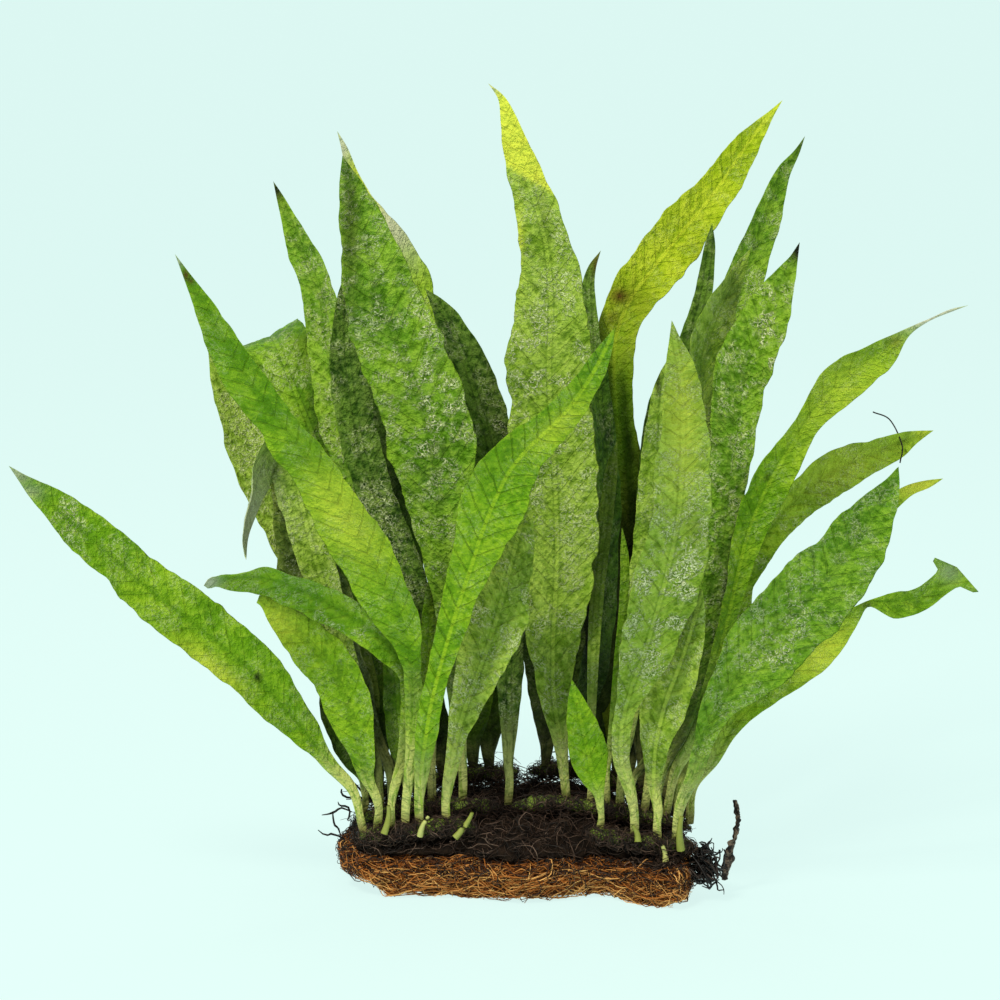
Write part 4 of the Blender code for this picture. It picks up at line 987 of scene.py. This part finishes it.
def makeRhizomes():
    skin = rhizomePaint()
    hair = strandPaint("rhizomeHair", rootStops, 0.6)
    stubSkin = strandPaint("stalkStub", rhizome["stubStops"], 0.5)
    for seed, node in enumerate(sorted(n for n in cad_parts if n.startswith("rhizome"))):
        rng = np.random.default_rng(30 + seed)
        line, shape = knobbly(node, seed)
        pieces = [makeObject(node + "_core", *shape, skin)]
        paths = creeping(shape, rhizome["hairs"], lambda m, n: 1.25 - n[:, 2], rng, 12 * mm, (0.7, 1, 1))
        pieces.append(bundle(node + "_hair", paths, rhizome["thick"], (1.3, 2.6), hair, rng))
        if node in stubs:
            pieces.append(stalkStubs(node, line[:, 1].mean() - 5 * mm, stubSkin, rng))
        place(joined(node.replace("rhizome", "creeping_stem"), pieces), node)


makeRhizomes()
print("rhizomes")


tangle = {
    "roots": 64, "steps": 16, "sides": 5, "thick": (0.2 * mm, 0.5 * mm), "wander": 7 * mm, "past": 1.2 * mm,
    "stops": (linear(8, 6, 5), linear(26, 19, 15), linear(74, 60, 52)),
}


def makeTangle():  # open and wiry: each root runs out from the mat's end and wanders
    rng = np.random.default_rng(44)
    low, high = (np.array(corner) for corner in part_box("root_tangle_right"))
    count, steps = tangle["roots"], tangle["steps"]
    start = low + (high - low) * rng.uniform([-0.1, 0.1, 0.1], [0.25, 0.9, 1.0], (count, 3))
    end = low + (high - low) * rng.uniform([0.3, 0, 0.0], [1.0, 1, 0.95], (count, 3))
    share = np.linspace(0, 1, steps)
    paths = start[:, None] + (end - start)[:, None] * share[None, :, None]
    reach = tangle["wander"] * np.sin(math.pi * (share * 0.8 + 0.1))
    for k in range(count):
        for axis in range(3):
            paths[k, :, axis] += waves(share * 2.6, 1, k * 3 + axis + 0.5) * reach
    paths = np.clip(paths, low - tangle["past"], high + tangle["past"])
    paths[..., 2] = np.maximum(paths[..., 2], 0.5 * mm)
    radii = rng.uniform(*tangle["thick"], count)
    skin = strandPaint("looseRoot", tangle["stops"], 0.5)
    shades = rng.beta(1.2, 3.5, count)
    piece = fibreMesh("loose_roots", paths, taper(radii, steps), shades, skin, tangle["sides"])
    place(piece, "root_tangle_right")


makeTangle()

driedFrond = {"rows": 70, "across": 9, "half": 1.9 * mm, "thick": 0.5 * mm}


def makeWithered():
    centres = np.array([ring.mean(axis=0) for ring in levelRings("withered_frond", 2, 1e4, 3)])
    knots = lengthsAlong(centres)
    rows, across = driedFrond["rows"], driedFrond["across"]
    line = throughPoints(knots, centres, np.linspace(0, knots[-1], rows))
    points = []
    for k, centre in enumerate(line):
        share = k / (rows - 1)
        half = driedFrond["half"] * math.sin(math.pi * min(share * 0.9 + 0.08, 1)) ** 0.6 + 0.2 * mm
        turn = 2.4 * share + 0.8 * noise.noise(Vector((share * 6, 0, 0)))
        side = np.array([math.cos(turn), math.sin(turn), 0])
        out = np.array([-math.sin(turn), math.cos(turn), 0])
        for t in np.linspace(-1, 1, across):
            crumple = noise.noise(Vector((share * 22, t * 1.6, 4))) * 0.9 * mm
            points.append(centre + side * t * half * (1 + 0.3 * noise.noise(Vector((share * 14, t, 9))))
                          + out * (crumple + t * t * 1.1 * mm))
    faces = [(k * across + i, k * across + i + 1, (k + 1) * across + i + 1, (k + 1) * across + i)
             for k in range(rows - 1) for i in range(across - 1)]
    paint = Paint("driedSkin")
    lumps = paint.noise(paint.node("ShaderNodeNewGeometry"), 300.0, 4.0, 0.7)
    colour = paint.mix(lumps.ramp(0.42, 0.6), linear(24, 17, 13), linear(120, 104, 88))
    skin = paint.finish(colour, 0.8, paint.bump(lumps, 0.5 * mm))
    piece = makeObject("dried_frond", np.array(points), faces, skin)
    body = piece.modifiers.new("thick", "SOLIDIFY")
    body.thickness, body.offset = driedFrond["thick"], 0
    place(piece, "withered_frond")


makeWithered()
print("loose roots and dried frond")


# floor, light and camera
stage = {
    "colour": linear(84, 95, 93), "glow": 7.6,
    "near": -2.6, "far": 3.0, "wide": 9.0, "rise": 3.2, "bend": 1.0,
    "world": (0.9, 0.95, 0.95, 1), "worldStrength": 0.3,
    "lights": {  # place, aim, size, power and colour
        "key": ((-0.55, -0.9, 1.25), (0, 0, 0.12), 0.4, 20, (1, 0.96, 0.84)),
        "fill": ((0.9, -1.0, 0.6), (0, 0, 0.12), 0.9, 3.2, (1, 1, 1)),
        "top": ((0.1, 0.35, 1.3), (0, 0, 0.1), 0.8, 5, (1, 0.97, 0.9)),
    },
}


def makeStage():
    bend, far = stage["bend"], stage["far"]
    profile = [(stage["near"], 0.0), (far - bend, 0.0)]
    for k in range(1, 17):
        turn = math.pi / 2 * k / 16
        profile.append((far - bend + bend * math.sin(turn), bend * (1 - math.cos(turn))))
    profile.append((far, stage["rise"]))
    points = np.array([(x, y, z) for y, z in profile for x in (-stage["wide"], stage["wide"])])
    faces = [(2 * k, 2 * k + 1, 2 * k + 3, 2 * k + 2) for k in range(len(profile) - 1)]
    skin = Paint("paleSweep").finish((*stage["colour"], 1), 0.9, gloss=0.0, glow=stage["glow"])
    floor = makeObject("floor", points, faces, skin)


def addLight(name, location, target, size, power, colour):
    lamp = bpy.data.lights.new(name, "AREA")
    lamp.shape, lamp.size, lamp.energy, lamp.color = "DISK", size, power, colour
    made = linked(name, lamp)
    made.location = location
    made.rotation_euler = (Vector(target) - Vector(location)).to_track_quat("-Z", "Y").to_euler()


makeStage()
for name, facts in stage["lights"].items():
    addLight(name, *facts)

world = bpy.data.worlds.new("studio")
bpy.context.scene.world = world
world.use_nodes = True
background = world.node_tree.nodes["Background"].inputs
background["Color"].default_value = stage["world"]
background["Strength"].default_value = stage["worldStrength"]

camera = linked("camera", bpy.data.cameras.new("camera"))
camera.data.lens = 140
camera.data.sensor_width = 36
camera.data.clip_start = 0.05
camera.location = eye
camera.rotation_euler = Vector(sight).to_track_quat("-Z", "Y").to_euler()
bpy.context.scene.camera = camera
bpy.context.scene.view_settings.view_transform = "Standard"
